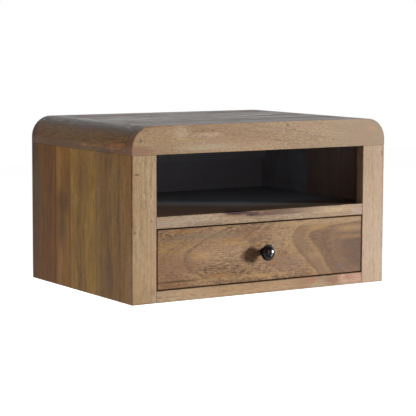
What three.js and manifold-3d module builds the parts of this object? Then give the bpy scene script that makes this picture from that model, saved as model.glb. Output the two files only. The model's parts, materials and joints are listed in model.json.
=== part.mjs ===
// Floating nightstand of solid mango wood: a case with rounded top corners, an open niche over one drawer.
// Millimetres, +X to the right, +Z up, and the wall behind at +Y.
// The case is laid out from the wall plane and its own underside. At the end it is hung so that the origin
// lies on the wall plane, midway between the two hangers, at the height of the screws they hang on.
import * as THREE from "three";
import { mergeVertices } from "three/addons/utils/BufferGeometryUtils.js";
import Module from "manifold-3d";

const wasm = await Module();
wasm.setup();

// Case: outside
const caseWidth = 500;
const caseDepth = 350;
const caseHeight = 283;
const cornerRadius = 36;

// Case: boards
const frameDepth = 18;
const topRailHeight = 46;
const stileWidth = 45;
const sideThickness = 20;
const topThickness = 20;
const shelfThickness = 19;
const bottomThickness = 19;
const drawerOpeningHeight = 100;

// Back of the case
const backThickness = 6;
const backLap = 10;
const hangingRailThickness = 18;
const hangingRailHeight = 70;

// Keyhole hangers
const hangerInset = 100;
const plateWidth = 19;
const plateHeight = 46;
const plateThickness = 2;
const plateScrewInset = 5.5;
const keyholeMouthRadius = 4.75;
const keyholeSlotRadius = 2.6;
const keyholeRise = 12;
const headPocketMargin = 1.2;
const headPocketDepth = 10;

// Drawer
const drawerGap = 2;
const drawerSetback = 0.5;
const drawerFrontThickness = 18;
const drawerHeadroom = 9.7;
const drawerBoxClearance = 3;
const drawerWallThickness = 12;
const drawerBottomThickness = 6;
const drawerBottomRise = 8;
const drawerGrooveDepth = 6;
const drawerRearSpace = 30;
const frontScrewInset = 70;
const frontScrewRise = 44;

// Guides and stops
const guideHeight = 18;
const guideRearSpace = 24;
const closingStopWidth = 20;
const closingStopHeight = 21;
const closingStopInset = 35;
const pullStopInset = 31.7;
const pullStopWidth = 70;
const pullStopDepth = 18;
const pullStopHeight = 15;
const pullStopScrewSpacing = 40;

// Knob: radii, and heights above the drawer front
const knobBaseRadius = 6.4;
const knobBaseThickness = 1.2;
const knobNeckRadius = 5.1;
const knobNeckHeight = 7;
const knobFlareRadius = 12.4;
const knobRimRadius = 13.6;
const knobRimHeight = 13.5;
const knobRimThickness = 2;
const knobDomeRadius = 11.4;
const knobLength = 24;

// Screws and dowels
const screwShankRadius = 1.75;
const screwHeadRadius = 3.5;
const screwPointLength = 3;
const plateScrewLength = 15;
const backScrewLength = 20;
const backScrewInset = 42;
const frontScrewLength = 24;
const pullStopScrewLength = 27;
const knobScrewRadius = 2;
const knobScrewHeadRadius = 4;
const knobScrewHeadHeight = 2.4;
const knobScrewGrip = 10;
const dowelRadius = 4;
const dowelLength = 30;
const dowelChamfer = 1;
const dowelInset = 62;

// Clearances: a glue line between boards, the play round a peg or a screw, and the overrun of every cut
const glueLine = 0.3;
const pegPlay = 0.3;
const runningGap = 0.3;
const overrun = 2;

// Facets
const cornerFacets = 10;
const screwFacets = 12;
const dowelFacets = 12;
const keyholeFacets = 12;
const knobFacets = 28;
const knobArcFacets = 5;

// Planes that several boards share, measured from the centre line, the wall and the underside
const halfWidth = caseWidth / 2;
const frameBackY = frameDepth - caseDepth;
const carcassFrontY = frameBackY + glueLine;
const stileInnerX = halfWidth - stileWidth;
const sideInnerX = halfWidth - sideThickness;
const topRailBottomZ = caseHeight - topRailHeight;
const topBoardBottomZ = caseHeight - topThickness;
const shelfBottomZ = bottomThickness + drawerOpeningHeight;
const shelfTopZ = shelfBottomZ + shelfThickness;
const backPanelFrontY = -backThickness;
const railTopZ = topBoardBottomZ - glueLine;
const railBottomZ = topBoardBottomZ - hangingRailHeight;
const plateCentreZ = (railBottomZ + backLap + topBoardBottomZ) / 2;
const seatHeight = plateCentreZ + keyholeRise / 2;
const hangerX = halfWidth - hangerInset;

const drawerFaceY = drawerSetback - caseDepth;
const drawerFrontBackY = drawerFaceY + drawerFrontThickness;
const boxFrontY = drawerFrontBackY + glueLine;
const boxBackY = -drawerRearSpace;
const boxHalfWidth = stileInnerX - drawerBoxClearance;
const boxInnerX = boxHalfWidth - drawerWallThickness;
const boxBottomZ = bottomThickness + runningGap;
const boxTopZ = shelfBottomZ - drawerHeadroom;
const innerFrontBackY = boxFrontY + drawerWallThickness;
const drawerBackFrontY = boxBackY - drawerWallThickness;
const frontBottomZ = bottomThickness + drawerGap;
const frontTopZ = shelfBottomZ - drawerGap;
const frontCentreZ = (frontBottomZ + frontTopZ) / 2;

const up = new THREE.Vector3(0, 0, 1);
const down = new THREE.Vector3(0, 0, -1);
const right = new THREE.Vector3(1, 0, 0);
const toFront = new THREE.Vector3(0, -1, 0);
const toWall = new THREE.Vector3(0, 1, 0);
const sides = [
  { name: "left", sign: -1 },
  { name: "right", sign: 1 },
];

// Materials
const wood = (color) => new THREE.MeshStandardMaterial({ color, roughness: 0.55, metalness: 0 });
const railWood = wood("#a98e75");
const stileWood = wood("#b2957a");
const panelWood = wood("#765c3e");
const topWood = wood("#8b8076");
const shelfWood = wood("#a58a72");
const drawerFrontWood = wood("#937356");
const drawerBoxWood = wood("#b99a74");
const plywood = wood("#8a6d4d");
const dowelWood = wood("#d0b083");
const zincSteel = new THREE.MeshStandardMaterial({ color: "#b9bcc0", roughness: 0.35, metalness: 1 });
const gunmetal = new THREE.MeshStandardMaterial({ color: "#1f1e20", roughness: 0.18, metalness: 1 });

// A closed three.js geometry as a solid that can be cut and joined.
function solidOf(geometry) {
  const bare = geometry.clone();
  bare.deleteAttribute("normal");
  bare.deleteAttribute("uv");
  const merged = mergeVertices(bare);
  const vertProperties = merged.getAttribute("position").array;
  const triVerts = new Uint32Array(merged.index.array);
  return new wasm.Manifold(new wasm.Mesh({ numProp: 3, vertProperties, triVerts }));
}

// A solid back as a geometry with flat facets.
function geometryOf(solid) {
  const { numProp, vertProperties, triVerts } = solid.getMesh();
  const indexed = new THREE.BufferGeometry();
  indexed.setAttribute("position", new THREE.BufferAttribute(vertProperties, numProp));
  indexed.setIndex(new THREE.BufferAttribute(triVerts, 1));
  const faceted = indexed.toNonIndexed();
  faceted.computeVertexNormals();
  return faceted;
}

// Adds a piece to a group: its mesh is drawn round its own middle and placed by its position.
function addPiece(group, name, solid, material) {
  const geometry = geometryOf(solid);
  geometry.computeBoundingBox();
  const middle = geometry.boundingBox.getCenter(new THREE.Vector3());
  geometry.translate(-middle.x, -middle.y, -middle.z);
  const mesh = new THREE.Mesh(geometry, material);
  mesh.name = name;
  mesh.position.copy(middle);
  group.add(mesh);
}

// A board between two limits along each of X, Y and Z.
function board(xLimits, yLimits, zLimits) {
  const box = new THREE.Box3(
    new THREE.Vector3(Math.min(...xLimits), Math.min(...yLimits), Math.min(...zLimits)),
    new THREE.Vector3(Math.max(...xLimits), Math.max(...yLimits), Math.max(...zLimits)),
  );
  const size = box.getSize(new THREE.Vector3());
  const middle = box.getCenter(new THREE.Vector3());
  const geometry = new THREE.BoxGeometry(size.x, size.y, size.z);
  geometry.translate(middle.x, middle.y, middle.z);
  return solidOf(geometry);
}

// An outline drawn in plan (X, Y) and raised from one height to another.
function planBoard(outline, lowZ, highZ) {
  const geometry = new THREE.ExtrudeGeometry(outline, { depth: highZ - lowZ, bevelEnabled: false });
  geometry.translate(0, 0, lowZ);
  return solidOf(geometry);
}

// An outline drawn from the front (X, Z) and run from a rear plane towards the front.
function frontBoard(outline, rearY, frontY, facets = cornerFacets) {
  const options = { depth: rearY - frontY, bevelEnabled: false, curveSegments: facets };
  const geometry = new THREE.ExtrudeGeometry(outline, options);
  geometry.rotateX(Math.PI / 2);
  geometry.translate(0, rearY, 0);
  return solidOf(geometry);
}

// A turned solid: its profile lists radius and height, and its foot stands at a place, facing a direction.
function turned(profile, place, facing, facets) {
  const points = profile.map(([radius, height]) => new THREE.Vector2(radius, height));
  const geometry = new THREE.LatheGeometry(points, facets);
  const turn = new THREE.Quaternion().setFromUnitVectors(new THREE.Vector3(0, 1, 0), facing);
  geometry.applyQuaternion(turn);
  geometry.translate(place.x, place.y, place.z);
  return solidOf(geometry);
}

// A quarter of an ellipse about a centre, in radius and height, between two angles in quarter turns.
function quarterArc(centre, reach, fromQuarter, toQuarter) {
  return Array.from({ length: knobArcFacets + 1 }, (_, step) => {
    const quarter = fromQuarter + ((toQuarter - fromQuarter) * step) / knobArcFacets;
    const angle = (quarter * Math.PI) / 2;
    return [centre[0] + reach[0] * Math.cos(angle), centre[1] + reach[1] * Math.sin(angle)];
  });
}

// Countersunk screw: its head lies flush with a surface at a place, facing out of it.
function countersunkScrew({ place, facing, length }) {
  const headDepth = screwHeadRadius - screwShankRadius;
  const profile = [
    [0, -length],
    [screwShankRadius, screwPointLength - length],
    [screwShankRadius, -headDepth],
    [screwHeadRadius, 0],
    [0, 0],
  ];
  return turned(profile, place, facing, screwFacets);
}

// The hole that a countersunk screw needs, open at its head.
function countersunkHole({ place, facing, length }) {
  const headDepth = screwHeadRadius - screwShankRadius;
  const profile = [
    [0, -length - pegPlay],
    [screwShankRadius + pegPlay, -length - pegPlay],
    [screwShankRadius + pegPlay, -headDepth],
    [screwHeadRadius + pegPlay, 0],
    [screwHeadRadius + pegPlay, overrun],
    [0, overrun],
  ];
  return turned(profile, place, facing, screwFacets);
}

// Dowel with chamfered ends, half in each of the two boards that meet at its place.
function dowel({ place, facing }) {
  const half = dowelLength / 2;
  const profile = [
    [0, -half],
    [dowelRadius - dowelChamfer, -half],
    [dowelRadius, dowelChamfer - half],
    [dowelRadius, half - dowelChamfer],
    [dowelRadius - dowelChamfer, half],
    [0, half],
  ];
  return turned(profile, place, facing, dowelFacets);
}

function dowelHole({ place, facing }) {
  const half = dowelLength / 2 + pegPlay;
  const radius = dowelRadius + pegPlay;
  const profile = [
    [0, -half],
    [radius, -half],
    [radius, half],
    [0, half],
  ];
  return turned(profile, place, facing, dowelFacets);
}

const joined = (solids) => solids.reduce((whole, solid) => whole.add(solid));

// Dowels: two in each joint, near the front and near the wall
function listDowels() {
  const sideMiddleX = halfWidth - sideThickness / 2;
  const joints = [
    { name: "corner", x: sideMiddleX, z: topRailBottomZ, facing: up },
    { name: "top", x: stileInnerX, z: topBoardBottomZ + topThickness / 2, facing: right },
    { name: "shelf", x: sideInnerX, z: shelfBottomZ + shelfThickness / 2, facing: right },
    { name: "bottom", x: sideInnerX, z: bottomThickness / 2, facing: right },
  ];
  const ends = [
    { name: "front", y: frameBackY + dowelInset },
    { name: "rear", y: -dowelInset },
  ];
  return joints.flatMap((joint) =>
    sides.flatMap((side) =>
      ends.map((end) => ({
        name: `${joint.name}_dowel_${side.name}_${end.name}`,
        place: new THREE.Vector3(side.sign * joint.x, end.y, joint.z),
        facing: joint.facing,
      })),
    ),
  );
}

// Screws through the hanger plates, one above and one below each keyhole
function listPlateScrews() {
  const reach = plateHeight / 2 - plateScrewInset;
  return sides.flatMap((side) =>
    [
      { name: "lower", z: plateCentreZ - reach },
      { name: "upper", z: plateCentreZ + reach },
    ].map((end) => ({
      name: `hanger_screw_${side.name}_${end.name}`,
      place: new THREE.Vector3(side.sign * hangerX, 0, end.z),
      facing: toWall,
      length: plateScrewLength,
    })),
  );
}

// Screws at the corners of the back panel, into the rear edges of the side panels
function listBackScrews() {
  return sides.flatMap((side) =>
    [
      { name: "lower", z: backScrewInset },
      { name: "upper", z: railBottomZ - backScrewInset },
    ].map((end) => ({
      name: `back_screw_${side.name}_${end.name}`,
      place: new THREE.Vector3(side.sign * (sideInnerX + backLap / 2), 0, end.z),
      facing: toWall,
      length: backScrewLength,
    })),
  );
}

// The pull-out stop hangs under the shelf near its front. The drawer's back meets it at the end of the travel.
const pullStopRearY = frameBackY + pullStopInset + pullStopDepth;
const pullStopTopZ = shelfBottomZ - glueLine;
const pullStopBottomZ = pullStopTopZ - pullStopHeight;

function listPullStopScrews() {
  return sides.map((side) => ({
    name: `pull_stop_screw_${side.name}`,
    place: new THREE.Vector3(
      (side.sign * pullStopScrewSpacing) / 2,
      pullStopRearY - pullStopDepth / 2,
      pullStopBottomZ,
    ),
    facing: down,
    length: pullStopScrewLength,
  }));
}

// Screws from inside the drawer, through its inner front into its show front
function listFrontScrews() {
  return sides.flatMap((side) =>
    [
      { name: "lower", z: frontCentreZ - frontScrewRise / 2 },
      { name: "upper", z: frontCentreZ + frontScrewRise / 2 },
    ].map((end) => ({
      name: `front_screw_${side.name}_${end.name}`,
      place: new THREE.Vector3(side.sign * (boxInnerX - frontScrewInset), innerFrontBackY, end.z),
      facing: toWall,
      length: frontScrewLength,
    })),
  );
}

const dowels = listDowels();
const caseScrews = [...listPlateScrews(), ...listBackScrews(), ...listPullStopScrews()];
const caseHoles = joined([...dowels.map(dowelHole), ...caseScrews.map(countersunkHole)]);

// Back panel, and the rebate that it lies in, which is cut from every board round it
const backPanelTopZ = railBottomZ + backLap;
const backPanelBottomZ = bottomThickness - backLap;
const backPanelHalfWidth = sideInnerX + backLap;

function backPanel() {
  return board(
    [-backPanelHalfWidth, backPanelHalfWidth],
    [backPanelFrontY, 0],
    [backPanelBottomZ, backPanelTopZ],
  );
}

const backRebate = board(
  [-backPanelHalfWidth - glueLine, backPanelHalfWidth + glueLine],
  [backPanelFrontY - glueLine, overrun],
  [backPanelBottomZ - glueLine, backPanelTopZ + glueLine],
);

// Rounded top corners of the face frame and of the blocks behind it
const roundingRadius = Math.min(cornerRadius, topRailHeight, stileWidth);
const arcX = halfWidth - roundingRadius;
const arcZ = caseHeight - roundingRadius;

function topRail() {
  const outline = new THREE.Shape();
  outline.moveTo(-halfWidth, topRailBottomZ);
  outline.lineTo(halfWidth, topRailBottomZ);
  outline.absarc(arcX, arcZ, roundingRadius, 0, Math.PI / 2);
  outline.absarc(-arcX, arcZ, roundingRadius, Math.PI / 2, Math.PI);
  outline.closePath();
  return frontBoard(outline, frameBackY, -caseDepth);
}

function cornerBlock(sign) {
  const outline = new THREE.Shape();
  const outerX = sign * halfWidth;
  const innerX = sign * stileInnerX;
  const startAngle = sign > 0 ? 0 : Math.PI;
  outline.moveTo(innerX, topRailBottomZ);
  outline.lineTo(outerX, topRailBottomZ);
  outline.absarc(sign * arcX, arcZ, roundingRadius, startAngle, Math.PI / 2, sign < 0);
  outline.lineTo(innerX, caseHeight);
  outline.closePath();
  return frontBoard(outline, 0, carcassFrontY);
}

function stile(sign) {
  return board(
    [sign * stileInnerX, sign * halfWidth],
    [-caseDepth, frameBackY],
    [0, topRailBottomZ - glueLine],
  );
}

function sidePanel(sign) {
  const panel = board(
    [sign * sideInnerX, sign * halfWidth],
    [carcassFrontY, 0],
    [0, topRailBottomZ - glueLine],
  );
  return panel.subtract(backRebate);
}

function topBoard() {
  const reach = stileInnerX - glueLine;
  return board([-reach, reach], [carcassFrontY, 0], [topBoardBottomZ, caseHeight]);
}

// Shelf and bottom have one plan: as wide as the carcass inside, with a narrower nose between the stiles.
function notchedPlan(rearY) {
  const wide = sideInnerX - glueLine;
  const nose = stileInnerX - glueLine;
  return new THREE.Shape([
    new THREE.Vector2(-nose, -caseDepth),
    new THREE.Vector2(nose, -caseDepth),
    new THREE.Vector2(nose, carcassFrontY),
    new THREE.Vector2(wide, carcassFrontY),
    new THREE.Vector2(wide, rearY),
    new THREE.Vector2(-wide, rearY),
    new THREE.Vector2(-wide, carcassFrontY),
    new THREE.Vector2(-nose, carcassFrontY),
  ]);
}

function shelfBoard() {
  return planBoard(notchedPlan(backPanelFrontY - glueLine), shelfBottomZ, shelfTopZ);
}

function bottomBoard() {
  return planBoard(notchedPlan(0), 0, bottomThickness).subtract(backRebate);
}

// Keyhole as seen from the wall side: a round mouth below, and a slot that rises to the seat
function keyholePath(centreX) {
  const mouthZ = plateCentreZ - keyholeRise / 2;
  const neckAngle = Math.asin(keyholeSlotRadius / keyholeMouthRadius);
  const quarterTurn = Math.PI / 2;
  const path = new THREE.Path();
  path.absarc(
    centreX,
    mouthZ,
    keyholeMouthRadius,
    quarterTurn + neckAngle,
    quarterTurn - neckAngle + 2 * Math.PI,
  );
  path.absarc(centreX, seatHeight, keyholeSlotRadius, 0, Math.PI);
  path.closePath();
  return path;
}

function hangerPlate(sign) {
  const centreX = sign * hangerX;
  const endRadius = plateWidth / 2;
  const endReach = plateHeight / 2 - endRadius;
  const outline = new THREE.Shape();
  outline.absarc(centreX, plateCentreZ + endReach, endRadius, 0, Math.PI);
  outline.absarc(centreX, plateCentreZ - endReach, endRadius, Math.PI, 2 * Math.PI);
  outline.closePath();
  outline.holes.push(keyholePath(centreX));
  return frontBoard(outline, 0, -plateThickness, keyholeFacets);
}

// The seat of a hanger plate in the rail, and behind its keyhole a deeper pocket for the screw's head
function hangerPocket(sign) {
  const centreX = sign * hangerX;
  const seatRadius = plateWidth / 2 + glueLine;
  const seatReach = plateHeight / 2 - plateWidth / 2;
  const seat = new THREE.Shape();
  seat.absarc(centreX, plateCentreZ + seatReach, seatRadius, 0, Math.PI);
  seat.absarc(centreX, plateCentreZ - seatReach, seatRadius, Math.PI, 2 * Math.PI);
  seat.closePath();
  const pocketRadius = keyholeMouthRadius + headPocketMargin;
  const pocket = new THREE.Shape();
  pocket.absarc(centreX, plateCentreZ + keyholeRise / 2, pocketRadius, 0, Math.PI);
  pocket.absarc(centreX, plateCentreZ - keyholeRise / 2, pocketRadius, Math.PI, 2 * Math.PI);
  pocket.closePath();
  const plateSeat = frontBoard(seat, overrun, -plateThickness - glueLine, keyholeFacets);
  return plateSeat.add(frontBoard(pocket, overrun, -headPocketDepth, keyholeFacets));
}

// The hanging rail fills the width between the sides, and between the corner blocks above.
function hangingRail() {
  const wide = sideInnerX - glueLine;
  const narrow = stileInnerX - glueLine;
  const shoulderZ = topRailBottomZ - glueLine;
  const outline = new THREE.Shape([
    new THREE.Vector2(-wide, railBottomZ),
    new THREE.Vector2(wide, railBottomZ),
    new THREE.Vector2(wide, shoulderZ),
    new THREE.Vector2(narrow, shoulderZ),
    new THREE.Vector2(narrow, railTopZ),
    new THREE.Vector2(-narrow, railTopZ),
    new THREE.Vector2(-narrow, shoulderZ),
    new THREE.Vector2(-wide, shoulderZ),
  ]);
  const rail = frontBoard(outline, 0, -hangingRailThickness);
  return rail.subtract(backRebate).subtract(hangerPocket(-1)).subtract(hangerPocket(1));
}

function drawerGuide(sign) {
  return board(
    [sign * stileInnerX, sign * (sideInnerX - glueLine)],
    [carcassFrontY, -guideRearSpace],
    [bottomThickness + glueLine, bottomThickness + guideHeight],
  );
}

// A closing stop stands on the bottom board between the back panel and the closed drawer.
function closingStop(sign) {
  const outerX = stileInnerX - closingStopInset;
  return board(
    [sign * (outerX - closingStopWidth), sign * outerX],
    [boxBackY + runningGap, backPanelFrontY - glueLine],
    [bottomThickness + glueLine, bottomThickness + closingStopHeight],
  );
}

function pullStop() {
  return board(
    [-pullStopWidth / 2, pullStopWidth / 2],
    [pullStopRearY - pullStopDepth, pullStopRearY],
    [pullStopBottomZ, pullStopTopZ],
  );
}

function buildCase() {
  const group = new THREE.Group();
  const addBoard = (name, solid, material) => addPiece(group, name, solid.subtract(caseHoles), material);
  addBoard("top_rail", topRail(), railWood);
  addBoard("top_board", topBoard(), topWood);
  addBoard("shelf_board", shelfBoard(), shelfWood);
  addBoard("bottom_board", bottomBoard(), shelfWood);
  addBoard("back_panel", backPanel(), plywood);
  addBoard("hanging_rail", hangingRail(), drawerBoxWood);
  addBoard("pull_stop", pullStop(), drawerBoxWood);
  for (const { name, sign } of sides) {
    addBoard(`${name}_corner_block`, cornerBlock(sign), panelWood);
    addBoard(`${name}_stile`, stile(sign), stileWood);
    addBoard(`${name}_side_panel`, sidePanel(sign), panelWood);
    addBoard(`${name}_hanger_plate`, hangerPlate(sign), zincSteel);
    addBoard(`${name}_drawer_guide`, drawerGuide(sign), drawerBoxWood);
    addBoard(`${name}_closing_stop`, closingStop(sign), drawerBoxWood);
  }
  dowels.forEach((peg) => addPiece(group, peg.name, dowel(peg), dowelWood));
  caseScrews.forEach((screw) => addPiece(group, screw.name, countersunkScrew(screw), zincSteel));
  return group;
}

// Drawer: a glued box behind the show front, with its bottom panel in grooves
const bottomPanelLowZ = boxBottomZ + drawerBottomRise;
const bottomPanelHighZ = bottomPanelLowZ + drawerBottomThickness;
const bottomPanelHalfWidth = boxInnerX + drawerGrooveDepth;
const bottomPanelFrontY = innerFrontBackY - drawerGrooveDepth;
const bottomPanelRearY = drawerBackFrontY + drawerGrooveDepth;

function drawerBottom() {
  return board(
    [-bottomPanelHalfWidth, bottomPanelHalfWidth],
    [bottomPanelFrontY, bottomPanelRearY],
    [bottomPanelLowZ, bottomPanelHighZ],
  );
}

const bottomGroove = board(
  [-bottomPanelHalfWidth - glueLine, bottomPanelHalfWidth + glueLine],
  [bottomPanelFrontY - glueLine, bottomPanelRearY + glueLine],
  [bottomPanelLowZ - glueLine, bottomPanelHighZ + glueLine],
);

function drawerSide(sign) {
  const side = board([sign * boxInnerX, sign * boxHalfWidth], [boxFrontY, boxBackY], [boxBottomZ, boxTopZ]);
  return side.subtract(bottomGroove);
}

// The inner front and the back stand between the drawer's sides.
function drawerCrossWall(frontY) {
  const reach = boxInnerX - glueLine;
  const wall = board([-reach, reach], [frontY, frontY + drawerWallThickness], [boxBottomZ, boxTopZ]);
  return wall.subtract(bottomGroove);
}

function drawerFront() {
  const reach = stileInnerX - drawerGap;
  return board([-reach, reach], [drawerFaceY, drawerFrontBackY], [frontBottomZ, frontTopZ]);
}

// Knob: a base flange, a waisted neck that flares to a thin rim, and a dome, with a blind hole for its screw
const knobFootY = drawerFaceY - glueLine;
const knobScrewLength = innerFrontBackY - knobFootY + knobScrewGrip;

function knob() {
  const boreRadius = knobScrewRadius + pegPlay;
  const boreDepth = knobScrewGrip + pegPlay;
  const rimTop = knobRimHeight + knobRimThickness;
  const profile = [
    [0, boreDepth],
    [boreRadius, boreDepth],
    [boreRadius, 0],
    [knobBaseRadius, 0],
    ...quarterArc(
      [knobBaseRadius, knobNeckHeight],
      [knobBaseRadius - knobNeckRadius, knobNeckHeight - knobBaseThickness],
      -1,
      -2,
    ),
    ...quarterArc(
      [knobFlareRadius, knobNeckHeight],
      [knobFlareRadius - knobNeckRadius, knobRimHeight - knobNeckHeight],
      2,
      1,
    ).slice(1),
    [knobRimRadius, knobRimHeight],
    [knobRimRadius, rimTop],
    ...quarterArc([0, rimTop], [knobDomeRadius, knobLength - rimTop], 0, 1).slice(0, -1),
    [0, knobLength],
  ];
  return turned(profile, new THREE.Vector3(0, knobFootY, frontCentreZ), toFront, knobFacets);
}

// Machine screw with a pan head that bears on the inner front
function knobScrewProfile(play) {
  return [
    [0, -knobScrewLength - play],
    [knobScrewRadius + play, -knobScrewLength - play],
    [knobScrewRadius + play, glueLine],
  ];
}

const knobScrewPlace = new THREE.Vector3(0, innerFrontBackY, frontCentreZ);

function knobScrew() {
  const headTop = glueLine + knobScrewHeadHeight;
  const head = [
    [knobScrewHeadRadius, glueLine],
    [knobScrewHeadRadius, headTop - knobScrewHeadHeight / 2],
    [knobScrewHeadRadius - knobScrewHeadHeight / 2, headTop],
    [0, headTop],
  ];
  return turned([...knobScrewProfile(0), ...head], knobScrewPlace, toWall, screwFacets);
}

function knobScrewHole() {
  const mouth = [
    [knobScrewRadius + pegPlay, overrun],
    [0, overrun],
  ];
  return turned([...knobScrewProfile(pegPlay), ...mouth], knobScrewPlace, toWall, screwFacets);
}

function buildDrawer() {
  const group = new THREE.Group();
  const frontScrews = listFrontScrews();
  const holes = joined([knobScrewHole(), ...frontScrews.map(countersunkHole)]);
  const addBoard = (name, solid, material) => addPiece(group, name, solid.subtract(holes), material);
  addBoard("drawer_front", drawerFront(), drawerFrontWood);
  addBoard("drawer_inner_front", drawerCrossWall(boxFrontY), drawerBoxWood);
  addBoard("drawer_back", drawerCrossWall(drawerBackFrontY), drawerBoxWood);
  addBoard("drawer_bottom", drawerBottom(), plywood);
  for (const { name, sign } of sides) {
    addBoard(`drawer_${name}_side`, drawerSide(sign), drawerBoxWood);
  }
  addPiece(group, "knob", knob(), gunmetal);
  addPiece(group, "knob_screw", knobScrew(), zincSteel);
  frontScrews.forEach((screw) => addPiece(group, screw.name, countersunkScrew(screw), zincSteel));
  return group;
}

const hung = new THREE.Group();
hung.add(buildCase(), buildDrawer());
hung.position.z = -seatHeight;

const nightstand = new THREE.Group();
nightstand.name = "floating_nightstand";
nightstand.add(hung);

export default nightstand;
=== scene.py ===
# %% [markdown]
# # A floating nightstand in oiled mango wood
# The piece is a wall-hung box: one front rail whose ends turn down in a wide radius, two stiles under it, corner
# blocks and edge-glued sides behind, an open niche above and one inset drawer with a turned metal knob below.
# The CAD model gives every size and place. This file gives each board its planed and eased shape, its grain,
# and the light of a small studio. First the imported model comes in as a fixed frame.

# %% Load the frame
import json
from math import cos, pi, radians, sin

import bmesh
import bpy
from mathutils import Matrix, Vector

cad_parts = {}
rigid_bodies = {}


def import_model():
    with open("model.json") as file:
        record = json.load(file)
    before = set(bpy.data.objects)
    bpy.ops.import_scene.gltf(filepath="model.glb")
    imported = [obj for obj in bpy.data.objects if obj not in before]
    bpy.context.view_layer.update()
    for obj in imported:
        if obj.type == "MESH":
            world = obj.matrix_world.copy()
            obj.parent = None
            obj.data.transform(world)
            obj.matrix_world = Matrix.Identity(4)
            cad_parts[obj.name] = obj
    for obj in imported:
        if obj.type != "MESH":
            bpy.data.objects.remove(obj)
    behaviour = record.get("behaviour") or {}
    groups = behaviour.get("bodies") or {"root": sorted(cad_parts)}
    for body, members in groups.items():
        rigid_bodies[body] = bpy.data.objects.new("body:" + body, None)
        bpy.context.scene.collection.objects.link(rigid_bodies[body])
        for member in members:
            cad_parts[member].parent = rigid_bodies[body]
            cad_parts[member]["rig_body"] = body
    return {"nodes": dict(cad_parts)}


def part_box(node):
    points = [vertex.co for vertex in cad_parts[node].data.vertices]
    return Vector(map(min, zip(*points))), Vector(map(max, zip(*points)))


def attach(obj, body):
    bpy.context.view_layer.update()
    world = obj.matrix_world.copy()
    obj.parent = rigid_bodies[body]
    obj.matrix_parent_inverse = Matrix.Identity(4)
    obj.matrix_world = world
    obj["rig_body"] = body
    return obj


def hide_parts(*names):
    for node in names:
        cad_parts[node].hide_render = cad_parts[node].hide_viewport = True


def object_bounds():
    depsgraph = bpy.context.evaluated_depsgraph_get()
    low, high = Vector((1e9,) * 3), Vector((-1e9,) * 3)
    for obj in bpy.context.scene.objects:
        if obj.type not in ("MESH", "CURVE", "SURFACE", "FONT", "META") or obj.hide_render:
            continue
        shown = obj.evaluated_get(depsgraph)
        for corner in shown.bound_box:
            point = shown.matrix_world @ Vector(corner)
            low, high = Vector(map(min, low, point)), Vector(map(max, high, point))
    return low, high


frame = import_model()
cad_low, cad_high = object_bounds()
nodes = frame["nodes"]
print("size in mm:", [round(1000 * v, 1) for v in cad_high - cad_low])

# %% [markdown]
# ## The camera
# A long lens from the front left, a little above the top, keeps the uprights nearly parallel. The eye is about three
# metres away, so the lens has to be long. It is easier to trust three plain turns than a target point: first round the
# vertical, then down, then a hair of lean.

# %% Set up the camera
eye = Vector((-1.5328, -2.5937, 0.2002))
turned, falling, leaning = radians(32.404), radians(6.2635), radians(0.2047)
camera = bpy.data.objects.new("studio_camera", bpy.data.cameras.new("studio_camera"))
camera.data.sensor_width = 36
camera.data.lens = 143.47
camera.matrix_world = (
    Matrix.Translation(eye)
    @ Matrix.Rotation(-turned, 4, "Z")
    @ Matrix.Rotation(radians(90) - falling, 4, "X")
    @ Matrix.Rotation(leaning, 4, "Z")
)
bpy.context.scene.collection.objects.link(camera)
bpy.context.scene.camera = camera
bpy.context.scene.view_settings.view_transform = "Standard"
print("camera to the middle of the case:", round((eye - (cad_low + cad_high) / 2).length, 3), "m")

# %% [markdown]
# ## Small helpers for shader trees
# Every finish below is a tree of nodes. Placing them one by one hides the sums that they stand for, so here what a
# socket gives is wrapped as a field, and fields can be added, multiplied and so on like plain numbers. Each sum places
# its own node, so a finish reads as a list of what it does.


# %% Fields, and the nodes that they run through
class Field:
    """What a socket gives: a number, a vector or a colour."""

    def __init__(self, socket):
        self.socket = socket

    def __add__(self, other):
        return maths("ADD", self, other)

    def __radd__(self, other):
        return maths("ADD", other, self)

    def __sub__(self, other):
        return maths("SUBTRACT", self, other)

    def __rsub__(self, other):
        return maths("SUBTRACT", other, self)

    def __mul__(self, other):
        return maths("MULTIPLY", self, other)

    def __truediv__(self, other):
        return maths("DIVIDE", self, other)

    def __abs__(self):
        return maths("ABSOLUTE", self)


class Outputs:
    """The outputs of a node, by name or by number, as fields."""

    def __init__(self, node):
        self.node = node

    def __getitem__(self, key):
        return Field(self.node.outputs[key])


def feed(socket, value):
    """Links value to socket if it is a field, and else sets it as a plain value."""
    if isinstance(value, Field):
        socket.id_data.links.new(value.socket, socket)
    else:
        socket.default_value = value


def add_node(tree, kind, inputs, **options):
    node = tree.nodes.new("ShaderNode" + kind)
    for option, value in options.items():
        setattr(node, option, value)
    for key, value in inputs.items():
        feed(node.inputs[key], value)
    return Outputs(node)


def tree_of(*values):
    """The tree that the first field among the values runs through."""
    return next(v.socket.id_data for v in values if isinstance(v, Field))


# %% Sums, soft steps, noise and colours
def maths(operation, *values):
    """One step of a sum: with vectors, if a field among the values is one, and else with numbers."""
    vectors = any(isinstance(v, Field) and v.socket.type != "VALUE" for v in values)
    kind = "VectorMath" if vectors else "Math"
    made = add_node(tree_of(*values), kind, dict(enumerate(values)), operation=operation)
    return made["Value" if vectors and operation in ("LENGTH", "DOT_PRODUCT") else 0]


def parts(vector):
    """X, Y and Z of a vector, by name."""
    return add_node(tree_of(vector), "SeparateXYZ", {0: vector})


def join(x, y, z=0.0):
    return add_node(tree_of(x), "CombineXYZ", {"X": x, "Y": y, "Z": z})[0]


def channels(colour):
    """Red, green and blue of a colour, by number."""
    return add_node(tree_of(colour), "SeparateColor", {0: colour})


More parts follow.
